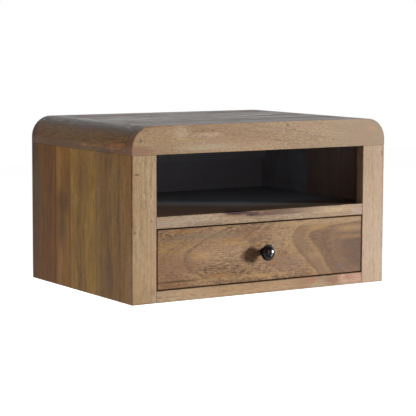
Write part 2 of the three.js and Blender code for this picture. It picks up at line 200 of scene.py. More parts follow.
def fade(value, start, end, low=0.0, high=1.0):
    """A soft step: low up to start, high from end on."""
    inputs = {"Value": value, "From Min": start, "From Max": end, "To Min": low, "To Max": high}
    return add_node(tree_of(value), "MapRange", inputs, interpolation_type="SMOOTHSTEP")["Result"]


def spread(value, low, high):
    """Stretches 0 to 1 over low to high."""
    return add_node(tree_of(value), "MapRange", {"Value": value, "To Min": low, "To Max": high})["Result"]


def noise(vector, seed=0.0, detail=2.0, roughness=0.5):
    inputs = {"Vector": vector, "W": seed, "Scale": 1.0, "Detail": detail, "Roughness": roughness}
    return add_node(tree_of(vector), "TexNoise", inputs, noise_dimensions="4D")


def noise_along(number, detail):
    """Noise that changes along one number only, such as the count of years."""
    inputs = {"W": number, "Scale": 1.0, "Detail": detail}
    return add_node(tree_of(number), "TexNoise", inputs, noise_dimensions="1D")["Fac"]


def mix_colour(share, under, over, way="MIX"):
    inputs = {0: share, 6: under, 7: over}
    return add_node(tree_of(share, under, over), "Mix", inputs, data_type="RGBA", blend_type=way)[2]


def paint(tone):
    """A colour as a paint chart gives it, 0 to 255, turned into the linear values that a socket takes."""
    return tuple((c / 255 / 12.92) if c <= 10 else ((c / 255 + 0.055) / 1.055) ** 2.4 for c in tone) + (1.0,)


def darkened(colour, share):
    return tuple(share * c for c in colour[:3]) + (1.0,)


print("a mid tan as linear values:", [round(v, 3) for v in paint((170, 145, 117))])


# %% The first and the last step of every finish
def open_finish(title):
    """A new material and its empty tree."""
    finish = bpy.data.materials.new(title)
    finish.use_nodes = True
    finish.node_tree.nodes.clear()
    return finish, finish.node_tree


def put_skin(finish, colour, rough, height, strength, depth, **rest):
    """Closes a finish with a bump of that strength and depth and with the shader itself."""
    tree = finish.node_tree
    bump = add_node(tree, "Bump", {"Height": height, "Strength": strength, "Distance": depth})[0]
    skin = {"Base Color": colour, "Roughness": rough, "Normal": bump}
    skin.update({label.replace("_", " "): value for label, value in rest.items()})
    add_node(tree, "OutputMaterial", {"Surface": add_node(tree, "BsdfPrincipled", skin)[0]})
    print(finish.name, "has", len(tree.nodes), "nodes")
    return finish


# %% [markdown]
# ## Studio light
# The key softbox, to the right of the front, gives the light on the front, the wedge of light on the niche floor and
# the knob's shadow. A low narrow strip beside it, which only reflections see, draws the key's glint on the knob down to
# a crescent, and a warm fill in front keeps the shadows brown, while a faint cold strip behind the rail opens up the
# niche. The side softbox stands square to the left side, far weaker than the key, and one more lights the back, for
# whoever walks round the piece. What is white behind the object is white only for the camera and for reflections: the
# world lights the wood at a sixteenth of that.


# %% World
white, warm_grey = (1.0, 1.0, 1.0, 1.0), (1.0, 0.84, 0.82, 1.0)
world = bpy.data.worlds.new("white_studio")
bpy.context.scene.world = world
world.use_nodes = True
air = world.node_tree
air.nodes.clear()
ray = add_node(air, "LightPath", {})
heading = add_node(air, "TexCoord", {})["Generated"]
to_paper = fade(maths("DOT_PRODUCT", heading, (0.50, 0.86, 0.0)), 0.40, 0.92, 0.06, 1.0)
mirrored = maths("MAXIMUM", ray["Is Glossy Ray"], ray["Is Transmission Ray"])
seen = maths("MAXIMUM", ray["Is Camera Ray"], mirrored * to_paper)
wood_light = 0.060  # the share of the white that lights the wood
strength = maths("MAXIMUM", seen, wood_light)
hue = mix_colour(seen, warm_grey, white)
backdrop = add_node(air, "Background", {"Color": hue, "Strength": strength})
add_node(air, "OutputWorld", {"Surface": backdrop[0]})
print("the world lights the wood at", wood_light, "of the white that the camera sees")

# %% Lamps
middle, drawer_middle, niche_back = Vector((0, -0.175, -0.100)), Vector((0, -0.36, -0.17)), Vector((0, -0.045, -0.020))


def softbox(name, aside, up, away, size, level, aim=middle, mirrored=False, lighting=True, tone=(1.0, 1.0, 1.0)):
    """A soft lamp. aside is in degrees to the right of the front, up above the floor line, and level is how bright
    it makes a white surface that faces it. mirrored is whether reflections show it, and lighting whether it lights
    what is matt."""
    way = Vector((sin(radians(aside)) * cos(radians(up)), -cos(radians(aside)) * cos(radians(up)), sin(radians(up))))
    lamp = bpy.data.lights.new(name, "AREA")
    lamp.shape, lamp.size, lamp.size_y = "RECTANGLE", size[0], size[1]
    lamp.energy, lamp.color = level * (pi * away) ** 2, tone
    stand = bpy.data.objects.new(name, lamp)
    stand.matrix_world = Matrix.Translation(aim + way * away) @ way.to_track_quat("Z", "Y").to_matrix().to_4x4()
    stand.visible_camera, stand.visible_glossy, stand.visible_diffuse = False, mirrored, lighting
    bpy.context.scene.collection.objects.link(stand)
    print(name, "at", [round(v, 2) for v in aim + way * away], "power", round(lamp.energy, 1), "W")


softbox("key_softbox", 57, 8, 6.0, (1.20, 1.20), 1.34, mirrored=True)
softbox("low_strip", 50, -25, 0.75, (0.05, 0.85), 0.20, drawer_middle, mirrored=True, lighting=False)
softbox("side_softbox", -91, 6, 2.2, (0.80, 1.10), 0.23)
softbox("fill_softbox", -6, 4, 2.6, (0.90, 2.80), 0.070, mirrored=True, tone=(1.0, 0.58, 0.54))
softbox("niche_strip", 0, 6, 0.26, (0.36, 0.02), 0.041, niche_back, tone=(0.62, 0.95, 1.12))
softbox("back_softbox", 172, 12, 3.0, (1.40, 0.80), 0.55)

# %% Floor
floor_height = cad_low.z - 0.45
bpy.ops.mesh.primitive_plane_add(size=14, location=(0, 0, floor_height))
floor = bpy.context.active_object
floor.name = "studio_floor"
bpy.ops.object.transform_apply(location=True, rotation=True, scale=True)
paper, tree = open_finish("white_paper")
ray = add_node(tree, "LightPath", {})
spot = parts(add_node(tree, "TexCoord", {})["Object"])["Y"]
mirrored = ray["Is Glossy Ray"] * fade(spot, -0.45, -0.05, 0.06, 1.0)
seen = maths("MAXIMUM", ray["Is Camera Ray"], mirrored)
flagged = mix_colour(ray["Is Glossy Ray"], (0.45, 0.45, 0.45, 1.0), (0.12, 0.12, 0.12, 1.0))
matt = add_node(tree, "BsdfDiffuse", {"Color": flagged})
glow = add_node(tree, "Emission", {"Color": white, "Strength": seen * 0.95})
both = add_node(tree, "AddShader", {0: matt[0], 1: glow[0]})
add_node(tree, "OutputMaterial", {"Surface": both[0]})
floor.data.materials.append(paper)
print("floor at", round(floor_height, 3), "m, under a piece that hangs free")

# %% [markdown]
# ## What makes mango wood look like mango wood
# The tree is a stack of cones, and a board is a cut through it. So the grain is not drawn on the faces: it is worked
# out in the solid, and the faces show it, which makes end grain and long grain meet at a corner as they do on a real
# board. Each effect is one shader group, built once: the wander of the grain, the growth rings, the swelling round a
# knot or a crotch, the short pale and dark flecks, the open pores, the staves of a glued panel, end grain, and the
# wear along edges, where a pale arris is partly a painted highlight. In all of them X runs along the grain, and a
# Mapping node turns a board's place into that frame.


# %% Helpers that open and use a shader group
origin = (0.0, 0.0, 0.0)


def open_group(title, outputs, **inputs):
    """A group with those outputs and inputs (a number or a vector, with its first value)."""
    group = bpy.data.node_groups.new(title, "ShaderNodeTree")
    for label, value in inputs.items():
        kind = "NodeSocketVector" if isinstance(value, tuple) else "NodeSocketFloat"
        group.interface.new_socket(label, in_out="INPUT", socket_type=kind).default_value = value
    for label in outputs:
        kind = "NodeSocketVector" if label == "Vector" else "NodeSocketFloat"
        group.interface.new_socket(label, in_out="OUTPUT", socket_type=kind)
    return group, Outputs(group.nodes.new("NodeGroupInput")), group.nodes.new("NodeGroupOutput").inputs


def use_group(tree, title, **inputs):
    """Places a group in a material and gives its outputs."""
    node = tree.nodes.new("ShaderNodeGroup")
    node.node_tree = bpy.data.node_groups[title]
    for label, value in inputs.items():
        feed(node.inputs[label], value)
    return Outputs(node)


# %% [markdown]
# Grain is never quite straight. Two noises push the place sideways, and never along the grain: a slow one, over
# a hand's width, and a quick one that gives the curl of a few millimetres.

# %% Group: the wander of the grain
group, given, out = open_group("grain_wander", ["Vector"], Vector=origin, Seed=0.0, Wander=0.006, Curl=0.001)
slow = noise(given["Vector"] * (5.0, 14.0, 14.0), given["Seed"], 2.0)
quick = noise(given["Vector"] * (45.0, 110.0, 110.0), given["Seed"], 2.0)
moved = given["Vector"]
for field, amount in ((slow, given["Wander"]), (quick, given["Curl"])):
    push = (field["Color"] - (0.5, 0.5, 0.5)) * (0.0, 4.0, 4.0)
    moved = moved + add_node(group, "VectorMath", {0: push, "Scale": amount}, operation="SCALE")["Vector"]
feed(out["Vector"], moved)
print("group grain_wander:", len(group.nodes), "nodes")

# %% [markdown]
# Rings are counted from the pith, a line along the grain at some distance from the board. Counting rings outwards
# gives two things: broad bands, where several years grew light or dark wood, and a thin dark line where a year ends.
# Anything added to the count bends the rings, and that is how a knot gets its eye.

# %% Group: growth rings
group, given, out = open_group(
    "growth_rings", ["Bands", "Lines", "Reach"], Vector=origin, Pith=(0.0, 0.05, 0.0), Lift=0.0, Ring=0.005, Seed=0.0
)
reach = maths("LENGTH", (given["Vector"] - given["Pith"]) * (0.0, 1.0, 1.0)) + given["Lift"]
count = reach / given["Ring"]
count = count + given["Seed"] * 7.31
count = count + noise_along(count * 0.37, 1.0) * 3.2
broad = noise_along(count * 0.55, 3.0)
year = maths("FRACT", count)
rise, fall = fade(year, 0.70, 0.93), fade(year, 0.94, 1.0, 1.0, 0.0)
chance = add_node(group, "TexWhiteNoise", {"W": maths("FLOOR", count)}, noise_dimensions="1D")["Value"]
line = rise * fall * fade(chance, 0.25, 0.9)
feed(out["Bands"], fade(broad, 0.30, 0.70))
feed(out["Lines"], line)
feed(out["Reach"], reach)
print("group growth_rings:", len(group.nodes), "nodes")

# %% [markdown]
# A swelling is a soft hill round one point. Its height goes into the ring count, and its outline serves as a mask for
# a knot, a bark streak or a patch where the stain went deeper.

# %% Group: a swelling round a knot or crotch
group, given, out = open_group(
    "swelling", ["Lift", "Inside"], Vector=origin, Centre=origin, Size=(0.05, 0.02, 0.03), Height=0.0, Edge=0.35
)
away = maths("LENGTH", (given["Vector"] - given["Centre"]) / given["Size"])
hill = maths("POWER", 2.718, away * away * -1.0)
feed(out["Lift"], hill * given["Height"])
start, end = 1.0 - given["Edge"], 1.0 + given["Edge"]
feed(out["Inside"], fade(away, start, end, 1.0, 0.0))
print("group swelling:", len(group.nodes), "nodes")

# %% [markdown]
# Flecks are the storage cells and vessels cut lengthwise: dashes a millimetre wide and several long, pale and dark
# side by side. Pores are finer and always darker, and they are cut open, so they also count as small grooves.

# %% Groups: flecks and pores
group, given, out = open_group("flecks", ["Fleck"], Vector=origin, Seed=0.0, Length=0.006, Width=0.0012)
size = join(given["Length"], given["Width"], given["Width"])
dash = noise(given["Vector"] / size, given["Seed"], 2.0, 0.6)
feed(out["Fleck"], fade(dash["Fac"], 0.28, 0.72))

group, given, out = open_group("pores", ["Pore"], Vector=origin, Length=0.0045, Width=0.00055, Share=0.5)
size = join(given["Length"], given["Width"], given["Width"])
cells = add_node(group, "TexVoronoi", {"Vector": given["Vector"] / size, "Scale": 1.0})
open_cell = maths("LESS_THAN", channels(cells["Color"])[0], given["Share"])
feed(out["Pore"], open_cell * fade(cells["Distance"], 0.20, 0.42, 1.0, 0.0))
print("groups flecks and pores made")

# %% [markdown]
# A wide board is glued up from narrow staves. Across the panel, each joint that has been passed adds one to the
# stave's number. The number picks its colour and moves its grain on, so that no two neighbours match, and the joint
# itself is a hairline of dark glue.

# %% Group: the staves of a glued panel
joint_names, far_away = "ABCDE", 9.0
group, given, out = open_group("staves", ["Stave", "Seam"], Across=0.0, **dict.fromkeys(joint_names, far_away))
number, seam = 0.0, 0.0
for joint in joint_names:
    number = number + maths("GREATER_THAN", given["Across"], given[joint])
    gap = abs(given["Across"] - given[joint])
    seam = maths("MAXIMUM", seam, fade(gap, 0.00015, 0.0006, 1.0, 0.0))
feed(out["Stave"], number)
feed(out["Seam"], seam)
print("group staves:", len(joint_names), "joints at most")

# %% [markdown]
# Where the saw crosses the grain the pores stand open, soak up oil and turn darker. And where two faces meet, the arris
# is made paler: partly the rub of hands and cloths, partly a painted highlight of the eased arris. For the arris the
# place is held against the board's own box: near an edge, the second smallest of the three distances to the faces is
# small.

# %% Groups: end grain, and rubbed edges with a painted highlight
group, given, out = open_group("end_grain", ["End"], Normal=(0.0, 0.0, 1.0))
feed(out["End"], fade(abs(parts(given["Normal"])["X"]), 0.45, 0.95))

group, given, out = open_group("rubbed_and_glinting_edges", ["Rub"], Vector=origin, Low=origin, High=(1.0, 1.0, 1.0), Reach=0.003)
below = abs(given["Vector"] - given["Low"])
above = abs(given["High"] - given["Vector"])
near = parts(maths("MINIMUM", below, above))
least, most = maths("MINIMUM", near["X"], near["Y"]), maths("MAXIMUM", near["X"], near["Y"])
second = maths("MAXIMUM", least, maths("MINIMUM", most, near["Z"]))
patchy = noise(given["Vector"] * (60.0, 60.0, 60.0), 3.0)["Fac"]
feed(out["Rub"], fade(second, 0.0, given["Reach"], 1.0, 0.0) * fade(patchy, 0.35, 0.6))
print("groups end_grain and rubbed_and_glinting_edges made")

# %% [markdown]
# Along the outside arrises of the case the oil has run together and dried. That leaves a dark brown line some three
# millimetres wide, also round the two big corners, and hardly any on top. The group measures how far a place lies in
# from the outline of the case and how far behind its front or before its back. Only at an arris are both small.

# %% Group: the oiled arris of the case
corner_radius = 0.036
(half_width, _, case_top), case_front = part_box("top_rail")[1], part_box("top_rail")[0].y
case_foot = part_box("left_side_panel")[0].z
group, given, out = open_group("oiled_arris", ["Oiled"], Vector=origin, Reach=0.0034)
at = parts(given["Vector"])
beside = maths("MAXIMUM", abs(at["X"]) - (half_width - corner_radius), 0.0)
over = maths("MAXIMUM", at["Z"] - (case_top - corner_radius), 0.0)
round_corner = maths("LENGTH", join(beside, over))
inward = maths("MINIMUM", corner_radius - round_corner, at["Z"] - case_foot)
behind = maths("MINIMUM", at["Y"] - case_front, at["Y"] * -1.0)
patchy = noise(given["Vector"] * (45.0, 45.0, 45.0), 6.0)["Fac"]
line = fade(inward + behind, 0.0006, given["Reach"], 1.0, 0.0)
line = line * fade(abs(at["X"]), 0.195, 0.225, 0.15, 1.0)
feed(out["Oiled"], line * fade(patchy, 0.30, 0.60, 0.55, 1.0))
print("group oiled_arris:", len(group.nodes), "nodes")

# %% [markdown]
# ## The finish of one board
# This function lays the groups over each other in the order in which the wood got them: first the wander, then the
# rings with their swellings, then flecks and pores, then stain patches, end grain and wear. On some boards patches
# and faces that look one way also carry painted light and shade, and the pale wear on an arris is partly a painted
# highlight. Oil fills the pores partly, so the sheen is softer on pale, open wood and tighter on dark, dense wood. Each
# board then calls it with its own pith, its own tones and its own marks, because no two boards in one piece come from
# the same tree.


# %% The oiled mango finish
ALONG_X, ALONG_Y, ALONG_Z = origin, (0.0, 0.0, radians(-90)), (0.0, radians(90), 0.0)


def clamped(mask):
    return add_node(tree_of(mask), "Clamp", {"Value": mask})[0]


def mango(
    title, seed, grain, pith, tones, blush, box=None, ring=0.006, tilt=0.0, wander=0.006, curl=0.0008, lines=0.3,
    flecks=0.42, fleck_size=(0.010, 0.0019), streaks=0.22, bands=0.3, chroma=0.5, swells=(), zones=(), years=(),
    patches=(), joints=(), tints=(), ends=(80, 52, 28), sides=(), shine=0.30, satin=(0.42, 0.56),
):
    """One board's material. tones are its dark, middle and pale wood and blush the hue that drifts through it. tilt
    is how fast the rings leave the face. swells are (centre, size, height) and patches (centre, size, edge, colour,
    share), with places in the grain's frame: X along it. zones are (distance from the pith, soft edge, colour, share)
    of darker heartwood and years single dark rings, (distance from the pith, width, share). sides are (outward
    direction, colour, share, way of mixing), and satin the roughness of dark and of pale wood. On some boards the
    patches and sides paint light and shade. A board inside the case gives its box, for edges that are made paler,
    partly by rubbing and partly as a painted highlight, and not oiled dark. Where ends is None, they are a darker
    middle wood."""
    finish, tree = open_finish(title)
    dark, mid, pale = (paint(tone) for tone in tones)
    deep = darkened(dark, 0.42)
    place = add_node(tree, "TexCoord", {})
    board = place["Object"]
    turned = add_node(tree, "Mapping", {"Vector": board, "Rotation": grain})[0]
    facing = add_node(tree, "Mapping", {"Vector": place["Normal"], "Rotation": grain}, vector_type="VECTOR")[0]
    source = turned
    if joints:
        stave = use_group(tree, "staves", Across=parts(turned)["Y"], **dict(zip(joint_names, joints)))
        skip = stave["Stave"] * 3.17
        hop = join(skip, maths("SINE", skip * 2.3))
        source = turned + hop * (1.0, 0.022, 0.0)
    grown = use_group(tree, "grain_wander", Vector=source, Seed=seed, Wander=wander, Curl=curl)["Vector"]
    marks = use_group(tree, "grain_wander", Vector=turned, Seed=seed + 5, Wander=wander * 0.1, Curl=curl)["Vector"]
    lift = parts(turned)["X"] * -tilt
    for centre, size, height in swells:
        lift = lift + use_group(tree, "swelling", Vector=marks, Centre=centre, Size=size, Height=height)["Lift"]
    rings = use_group(tree, "growth_rings", Vector=grown, Pith=pith, Lift=lift, Ring=ring, Seed=seed)
    fleck, fine, streak = (
        use_group(tree, "flecks", Vector=grown, Seed=seed + more, Length=length, Width=width)["Fleck"]
        for more, length, width in ((0, *fleck_size), (3, 0.0046, 0.0014), (1, 0.070, 0.0026))
    )
    pore = use_group(tree, "pores", Vector=grown)["Pore"]
    drift = noise(source * (9.0, 28.0, 28.0), seed + 2, 3.0)
    depth = maths("MULTIPLY_ADD", rings["Bands"] - 0.5, bands, 0.5)
    for field, share in ((fleck, flecks), (fine, 0.8 * flecks), (streak, streaks), (drift["Fac"], 0.40)):
        depth = maths("MULTIPLY_ADD", field - 0.5, share, depth)
    ramp = add_node(tree, "ValToRGB", {"Fac": depth})
    stops = ramp.node.color_ramp.elements
    stops[0].position, stops[0].color = 0.12, dark
    stops[1].position, stops[1].color = 0.88, pale
    stops.new(0.50).color = mid
    warm = channels(drift["Color"])[1]
    colour = mix_colour(fade(warm, 0.46, 0.66, 0.0, 0.55), ramp["Color"], paint(blush))
    hue = channels(noise(grown * (70.0, 260.0, 260.0), seed + 4, 2.0)["Color"])
    colour = mix_colour(fade(hue[0], 0.42, 0.66, 0.0, chroma), colour, (1.07, 1.00, 0.68, 1.0), "MULTIPLY")
    colour = mix_colour(fade(hue[1], 0.44, 0.66, 0.0, chroma), colour, (0.95, 0.87, 1.02, 1.0), "MULTIPLY")
    if tints:
        strip = add_node(tree, "ValToRGB", {"Fac": (stave["Stave"] + 0.5) / float(len(tints))})
        strip.node.color_ramp.interpolation = "CONSTANT"
        stops = strip.node.color_ramp.elements
        for i, tint in enumerate(tints):
            if i > 1:
                stops.new(i / len(tints))
            stops[i].position, stops[i].color = i / len(tints), (*tint, 1.0)
        colour = mix_colour(1.0, colour, strip["Color"], "MULTIPLY")
    colour = mix_colour(rings["Lines"] * lines, colour, deep)
    end = use_group(tree, "end_grain", Normal=facing)["End"]
    colour = mix_colour(end * 0.60, colour, paint(ends) if ends else darkened(mid, 0.7))
    if box:
        # partly rub and partly painted highlight: the arrises within reach of the box's edges go paler
        rub_and_glint = use_group(tree, "rubbed_and_glinting_edges", Vector=board, Low=box[0], High=box[1])["Rub"]
        colour = mix_colour(rub_and_glint * 0.25, colour, pale)
    else:
        oiled = use_group(tree, "oiled_arris", Vector=board)["Oiled"]
        colour = mix_colour(oiled * 0.85, colour, paint((112, 68, 34)))
    for outward, tone, share, *way in sides:
        faces = fade(maths("DOT_PRODUCT", place["Normal"], outward), 0.5, 0.9, 0.0, share)
        colour = mix_colour(faces, colour, paint(tone), *way)
    mottle = fleck + 0.5
    for reach, soft, tone, share in zones:
        mask = fade(rings["Reach"], reach - soft, reach, share, 0.0) * mottle
        colour = mix_colour(clamped(mask), colour, paint(tone))
    for reach, width, share in years:
        gap = rings["Reach"] - reach
        year = fade(gap, -3.0 * width, 0.0) * fade(gap, 0.0, width, share, 0.0)
        broken = year * fade(fine, 0.2, 0.7, 1.0, 0.35)
        colour = mix_colour(broken, colour, deep)
    for centre, size, edge, tone, share in patches:
        mask = use_group(tree, "swelling", Vector=marks, Centre=centre, Size=size, Edge=edge)["Inside"]
        colour = mix_colour(clamped(mask * share * mottle), colour, paint(tone))
    if joints:
        colour = mix_colour(stave["Seam"] * 0.50, colour, deep)
    colour = mix_colour(pore * 0.30, colour, deep)
    rough = maths("MULTIPLY_ADD", pore, 0.18, spread(depth, *satin))
    height = maths("MULTIPLY_ADD", fleck, 0.25, pore * -1.0)
    height = maths("MULTIPLY_ADD", rings["Lines"], -0.25, height)
    return put_skin(finish, colour, rough, height, 0.30, 0.0002, IOR=1.45, Specular_IOR_Level=shine)


# %% [markdown]
# ## Working a board
# Each board starts as a cube of the size and place that the CAD gives it. What makes it a board is what a maker does
# next: round a corner, cut a rebate, and ease every arris that a hand can touch. Where two boards are glued flush,
# the arris stays crisp, and only a hairline shows. An edge is such a joint if both its ends lie in a neighbour's box.


# %% Helpers that shape a board
def start_clean():
    if bpy.context.object and bpy.context.object.mode != "OBJECT":
        bpy.ops.object.mode_set(mode="OBJECT")
    bpy.ops.object.select_all(action="DESELECT")


def take_up(piece):
    """Leaves only this piece selected and active, ready for an operator."""
    start_clean()
    piece.select_set(True)
    bpy.context.view_layer.objects.active = piece


def sawn_board(name, low, high):
    """A cube at a size and place, with its place in its mesh."""
    start_clean()
    low, high = Vector(low), Vector(high)
    bpy.ops.mesh.primitive_cube_add(size=1, location=(low + high) / 2)
    board = bpy.context.active_object
    board.scale = high - low
    bpy.ops.object.transform_apply(location=True, rotation=True, scale=True)
    board.name = board.data.name = name
    return board


def pick(board, kind, wanted):
    """Goes into edit mode with only those faces or edges selected whose corners pass the test."""
    bpy.ops.object.mode_set(mode="EDIT")
    bpy.ops.mesh.select_mode(type=kind)
    bpy.ops.mesh.select_all(action="DESELECT")
    mesh = bmesh.from_edit_mesh(board.data)
    for part in mesh.faces if kind == "FACE" else mesh.edges:
        if wanted(part):
            part.select_set(True)
    mesh.select_flush_mode()
    bmesh.update_edit_mesh(board.data)


def split(board, *places):
    """Runs a mark round the board at each place along X, so that a field of one face can be worked alone."""
    bpy.ops.object.mode_set(mode="EDIT")
    for place in places:
        bpy.ops.mesh.select_all(action="SELECT")
        bpy.ops.mesh.bisect(plane_co=(place, 0, 0), plane_no=(1, 0, 0))
    bpy.ops.object.mode_set(mode="OBJECT")


def ease(board, radius, *neighbours):
    """Rounds every sharp edge by radius, but leaves those crisp that lie against a neighbouring node."""
    boxes = [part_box(n) for n in neighbours]
    slack = Vector((0.0007, 0.0007, 0.0007))

    def within(point, box):
        low, high = box[0] - slack, box[1] + slack
        return all(low[i] <= point[i] <= high[i] for i in range(3))

    def loose(edge):
        if len(edge.link_faces) != 2 or edge.calc_face_angle() < radians(50):
            return False
        return not any(all(within(v.co, box) for v in edge.verts) for box in boxes)

    pick(board, "EDGE", loose)
    bpy.ops.mesh.bevel(offset=radius, segments=3, affect="EDGES", clamp_overlap=True)
    bpy.ops.object.mode_set(mode="OBJECT")


def cut_away(board, cutter):
    """Takes the cutter's shape out of the board, and the cutter with it."""
    take_up(board)
    cut = board.modifiers.new("cut", "BOOLEAN")
    cut.operation, cut.object, cut.solver = "DIFFERENCE", cutter, "EXACT"
    bpy.ops.object.modifier_apply(modifier=cut.name)
    bpy.data.objects.remove(cutter)


def hand_over(board, node, finish):
    """Smooths the rounded edges, gives the board its finish, and lets it stand for the CAD node."""
    take_up(board)
    bpy.ops.object.shade_smooth_by_angle(angle=radians(35))
    flat = board.modifiers.new("flat_faces_stay_flat", "WEIGHTED_NORMAL")
    flat.keep_sharp = True
    bpy.ops.object.modifier_apply(modifier=flat.name)
    board.data.materials.clear()
    board.data.materials.append(finish)
    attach(board, nodes[node]["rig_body"])
    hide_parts(node)
    low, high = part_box(node)
    print(board.name, len(board.data.polygons), "faces, box", [round(1000 * v, 1) for v in high - low], "mm")


# %% [markdown]
# ## The front rail
# On the real piece the rail is one plank, 46 mm high, and both its ends are bandsawn and sanded to a wide radius. Here
# the two upper edges that run front to back are bevelled by that radius with enough steps to read as a curve. The
# rail's lower arris is eased all along, so a fine groove shows where it stands on the stiles, as on the real piece.


# %% Front rail
front_arris, outer_arris, shelf_arris = 0.0010, 0.0012, 0.0008  # how far an arris is eased, in metres
corner_steps = 28


def round_corners(board, corner):
    """Rounds the edges that run front to back and whose middle passes the test."""

    def wanted(edge):
        a, b = (v.co for v in edge.verts)
        return abs(a.y - b.y) > 0.005 and abs(a.x - b.x) + abs(a.z - b.z) < 1e-6 and corner((a + b) / 2)

    pick(board, "EDGE", wanted)
    bpy.ops.mesh.bevel(offset=corner_radius, segments=corner_steps, affect="EDGES")
    bpy.ops.object.mode_set(mode="OBJECT")


painted_sheen_on_top = ((0.0, 0.0, 1.0), (150, 152, 158), 0.9, "MULTIPLY")  # painted sheen: upward faces darkened to grey
rail = sawn_board("mango_top_rail", *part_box("top_rail"))
round_corners(rail, lambda p: p.z > 0)
ease(rail, front_arris, "left_stile", "right_stile", "left_corner_block", "right_corner_block", "top_board")
hand_over(rail, "top_rail", mango(
    "oiled_mango_rail", 1.0, ALONG_X, (0.0, -0.255, 0.060), ((124, 94, 61), (158, 129, 90), (184, 159, 119)),
    (162, 129, 92), tilt=0.05, lines=0.15, wander=0.003, curl=0.0003, fleck_size=(0.006, 0.0016), streaks=0.12,
    # the faces that look up are darkened to grey: painted sheen
    bands=0.12, chroma=0.6, shine=0.5, satin=(0.30, 0.56), ends=(112, 62, 30), sides=[painted_sheen_on_top],
    years=[(0.0985, 0.0009, 0.30), (0.1060, 0.0008, 0.20)],
    patches=[
        ((-0.160, -0.35, 0.032), (0.012, 0.05, 0.0090), 0.8, (196, 176, 140), 0.45),
        ((-0.108, -0.35, 0.027), (0.024, 0.05, 0.0036), 0.7, (204, 176, 148), 0.45),
        ((-0.112, -0.35, 0.007), (0.052, 0.05, 0.0050), 0.7, (178, 162, 134), 0.50),
        ((-0.238, -0.35, 0.005), (0.022, 0.05, 0.0070), 0.7, (142, 96, 74), 0.60),
        ((-0.190, -0.35, 0.014), (0.012, 0.05, 0.0140), 0.8, (158, 126, 84), 0.45),
        ((-0.100, -0.35, 0.034), (0.0020, 0.05, 0.0014), 0.5, (84, 58, 42), 0.80),
        ((-0.116, -0.35, 0.0245), (0.0060, 0.05, 0.0009), 0.6, (110, 78, 58), 0.60),
        ((-0.234, -0.35, 0.021), (0.0018, 0.05, 0.0022), 0.5, (84, 58, 42), 0.75),
        ((0.047, -0.35, 0.038), (0.0035, 0.05, 0.0013), 0.5, (84, 58, 42), 0.75),
        # painted shade: the right end of the rail is darkened, for the light that falls off towards the right
        ((0.190, -0.35, 0.020), (0.080, 0.05, 0.0300), 0.9, (142, 117, 78), 0.45),
        ((0.225, -0.35, 0.015), (0.034, 0.05, 0.0400), 0.9, (132, 107, 72), 0.45),
        ((0.210, -0.35, 0.018), (0.034, 0.05, 0.0160), 0.7, (156, 116, 86), 0.40),
        ((0.223, -0.35, 0.028), (0.010, 0.05, 0.0040), 0.6, (178, 124, 70), 0.40),
    ],
))

# %% [markdown]
# ## Stiles
# The two uprights stand under the rail, 45 mm wide and 18 mm thick, with the grain running up. Their arrises are eased
# from end to end before the case is glued, so the shelf and the bottom board meet them with a fine groove.


# %% Stiles
def stile(side, finish):
    board = sawn_board(f"mango_{side}_stile", *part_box(f"{side}_stile"))
    ease(board, front_arris, "top_rail", "shelf_board", "bottom_board", f"{side}_side_panel")
    hand_over(board, f"{side}_stile", finish)


stile("left", mango(
    "oiled_mango_left_stile", 2.0, ALONG_Z, (0.0, -0.300, 0.190), ((131, 103, 67), (168, 142, 105), (195, 174, 137)),
    (176, 144, 107), ring=0.0036, lines=0.20, wander=0.003, curl=0.0004, fleck_size=(0.014, 0.0012), bands=0.25,
    streaks=0.35, sides=[((-1.0, 0.0, 0.0), (242, 209, 164), 1.0, "MULTIPLY")],
    patches=[
        ((-0.032, -0.35, 0.241), (0.0014, 0.05, 0.0042), 0.5, (76, 66, 58), 0.75),
        ((-0.124, -0.35, 0.245), (0.0022, 0.05, 0.0028), 0.5, (110, 74, 46), 0.65),
        ((-0.107, -0.35, 0.214), (0.0024, 0.05, 0.0030), 0.6, (130, 92, 62), 0.60),
        ((-0.220, -0.35, 0.214), (0.0055, 0.05, 0.0045), 0.6, (150, 92, 50), 0.60),
        ((-0.090, -0.35, 0.219), (0.110, 0.05, 0.0008), 0.6, (214, 190, 150), 0.60),
        ((-0.080, -0.35, 0.209), (0.080, 0.05, 0.0035), 0.6, (186, 150, 126), 0.40),
        ((-0.215, -0.35, 0.240), (0.040, 0.05, 0.0090), 0.6, (170, 128, 74), 0.40),
        # painted light: the foot of the stile is made paler, for the case growing brighter towards the bottom
        ((-0.190, -0.35, 0.228), (0.070, 0.05, 0.0300), 0.9, (196, 170, 134), 0.35),
    ],
))
stile("right", mango(
    "oiled_mango_right_stile", 3.0, ALONG_Z, (0.0, -0.310, -0.260),
    ((144, 116, 89), (176, 151, 123), (197, 176, 149)), (183, 150, 123), lines=0.20, fleck_size=(0.014, 0.0017),
    flecks=0.24, streaks=0.14,
    patches=[
        ((-0.016, -0.35, -0.246), (0.0050, 0.05, 0.0014), 0.5, (110, 76, 54), 0.70),
        ((-0.127, -0.35, -0.239), (0.0060, 0.05, 0.0016), 0.5, (120, 84, 62), 0.60),
        # painted light: the foot of the stile is made paler, for the case growing brighter towards the bottom
        ((-0.190, -0.35, -0.228), (0.0900, 0.05, 0.0300), 0.9, (207, 181, 154), 0.60),
    ],
))

# %% [markdown]
# ## Corner blocks
# Behind the rail the same radius runs back along the top of each side. These are solid blocks, so their outer face
# shows the long grain of another plank.


# %% Corner blocks
def corner_block(side, finish):
    board = sawn_board(f"mango_{side}_corner_block", *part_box(f"{side}_corner_block"))
    outwards = -1 if side == "left" else 1
    round_corners(board, lambda p: p.z > 0.04 and p.x * outwards > 0.24)
    ease(board, outer_arris, "top_rail", "top_board", f"{side}_side_panel", "hanging_rail")
    hand_over(board, f"{side}_corner_block", finish)


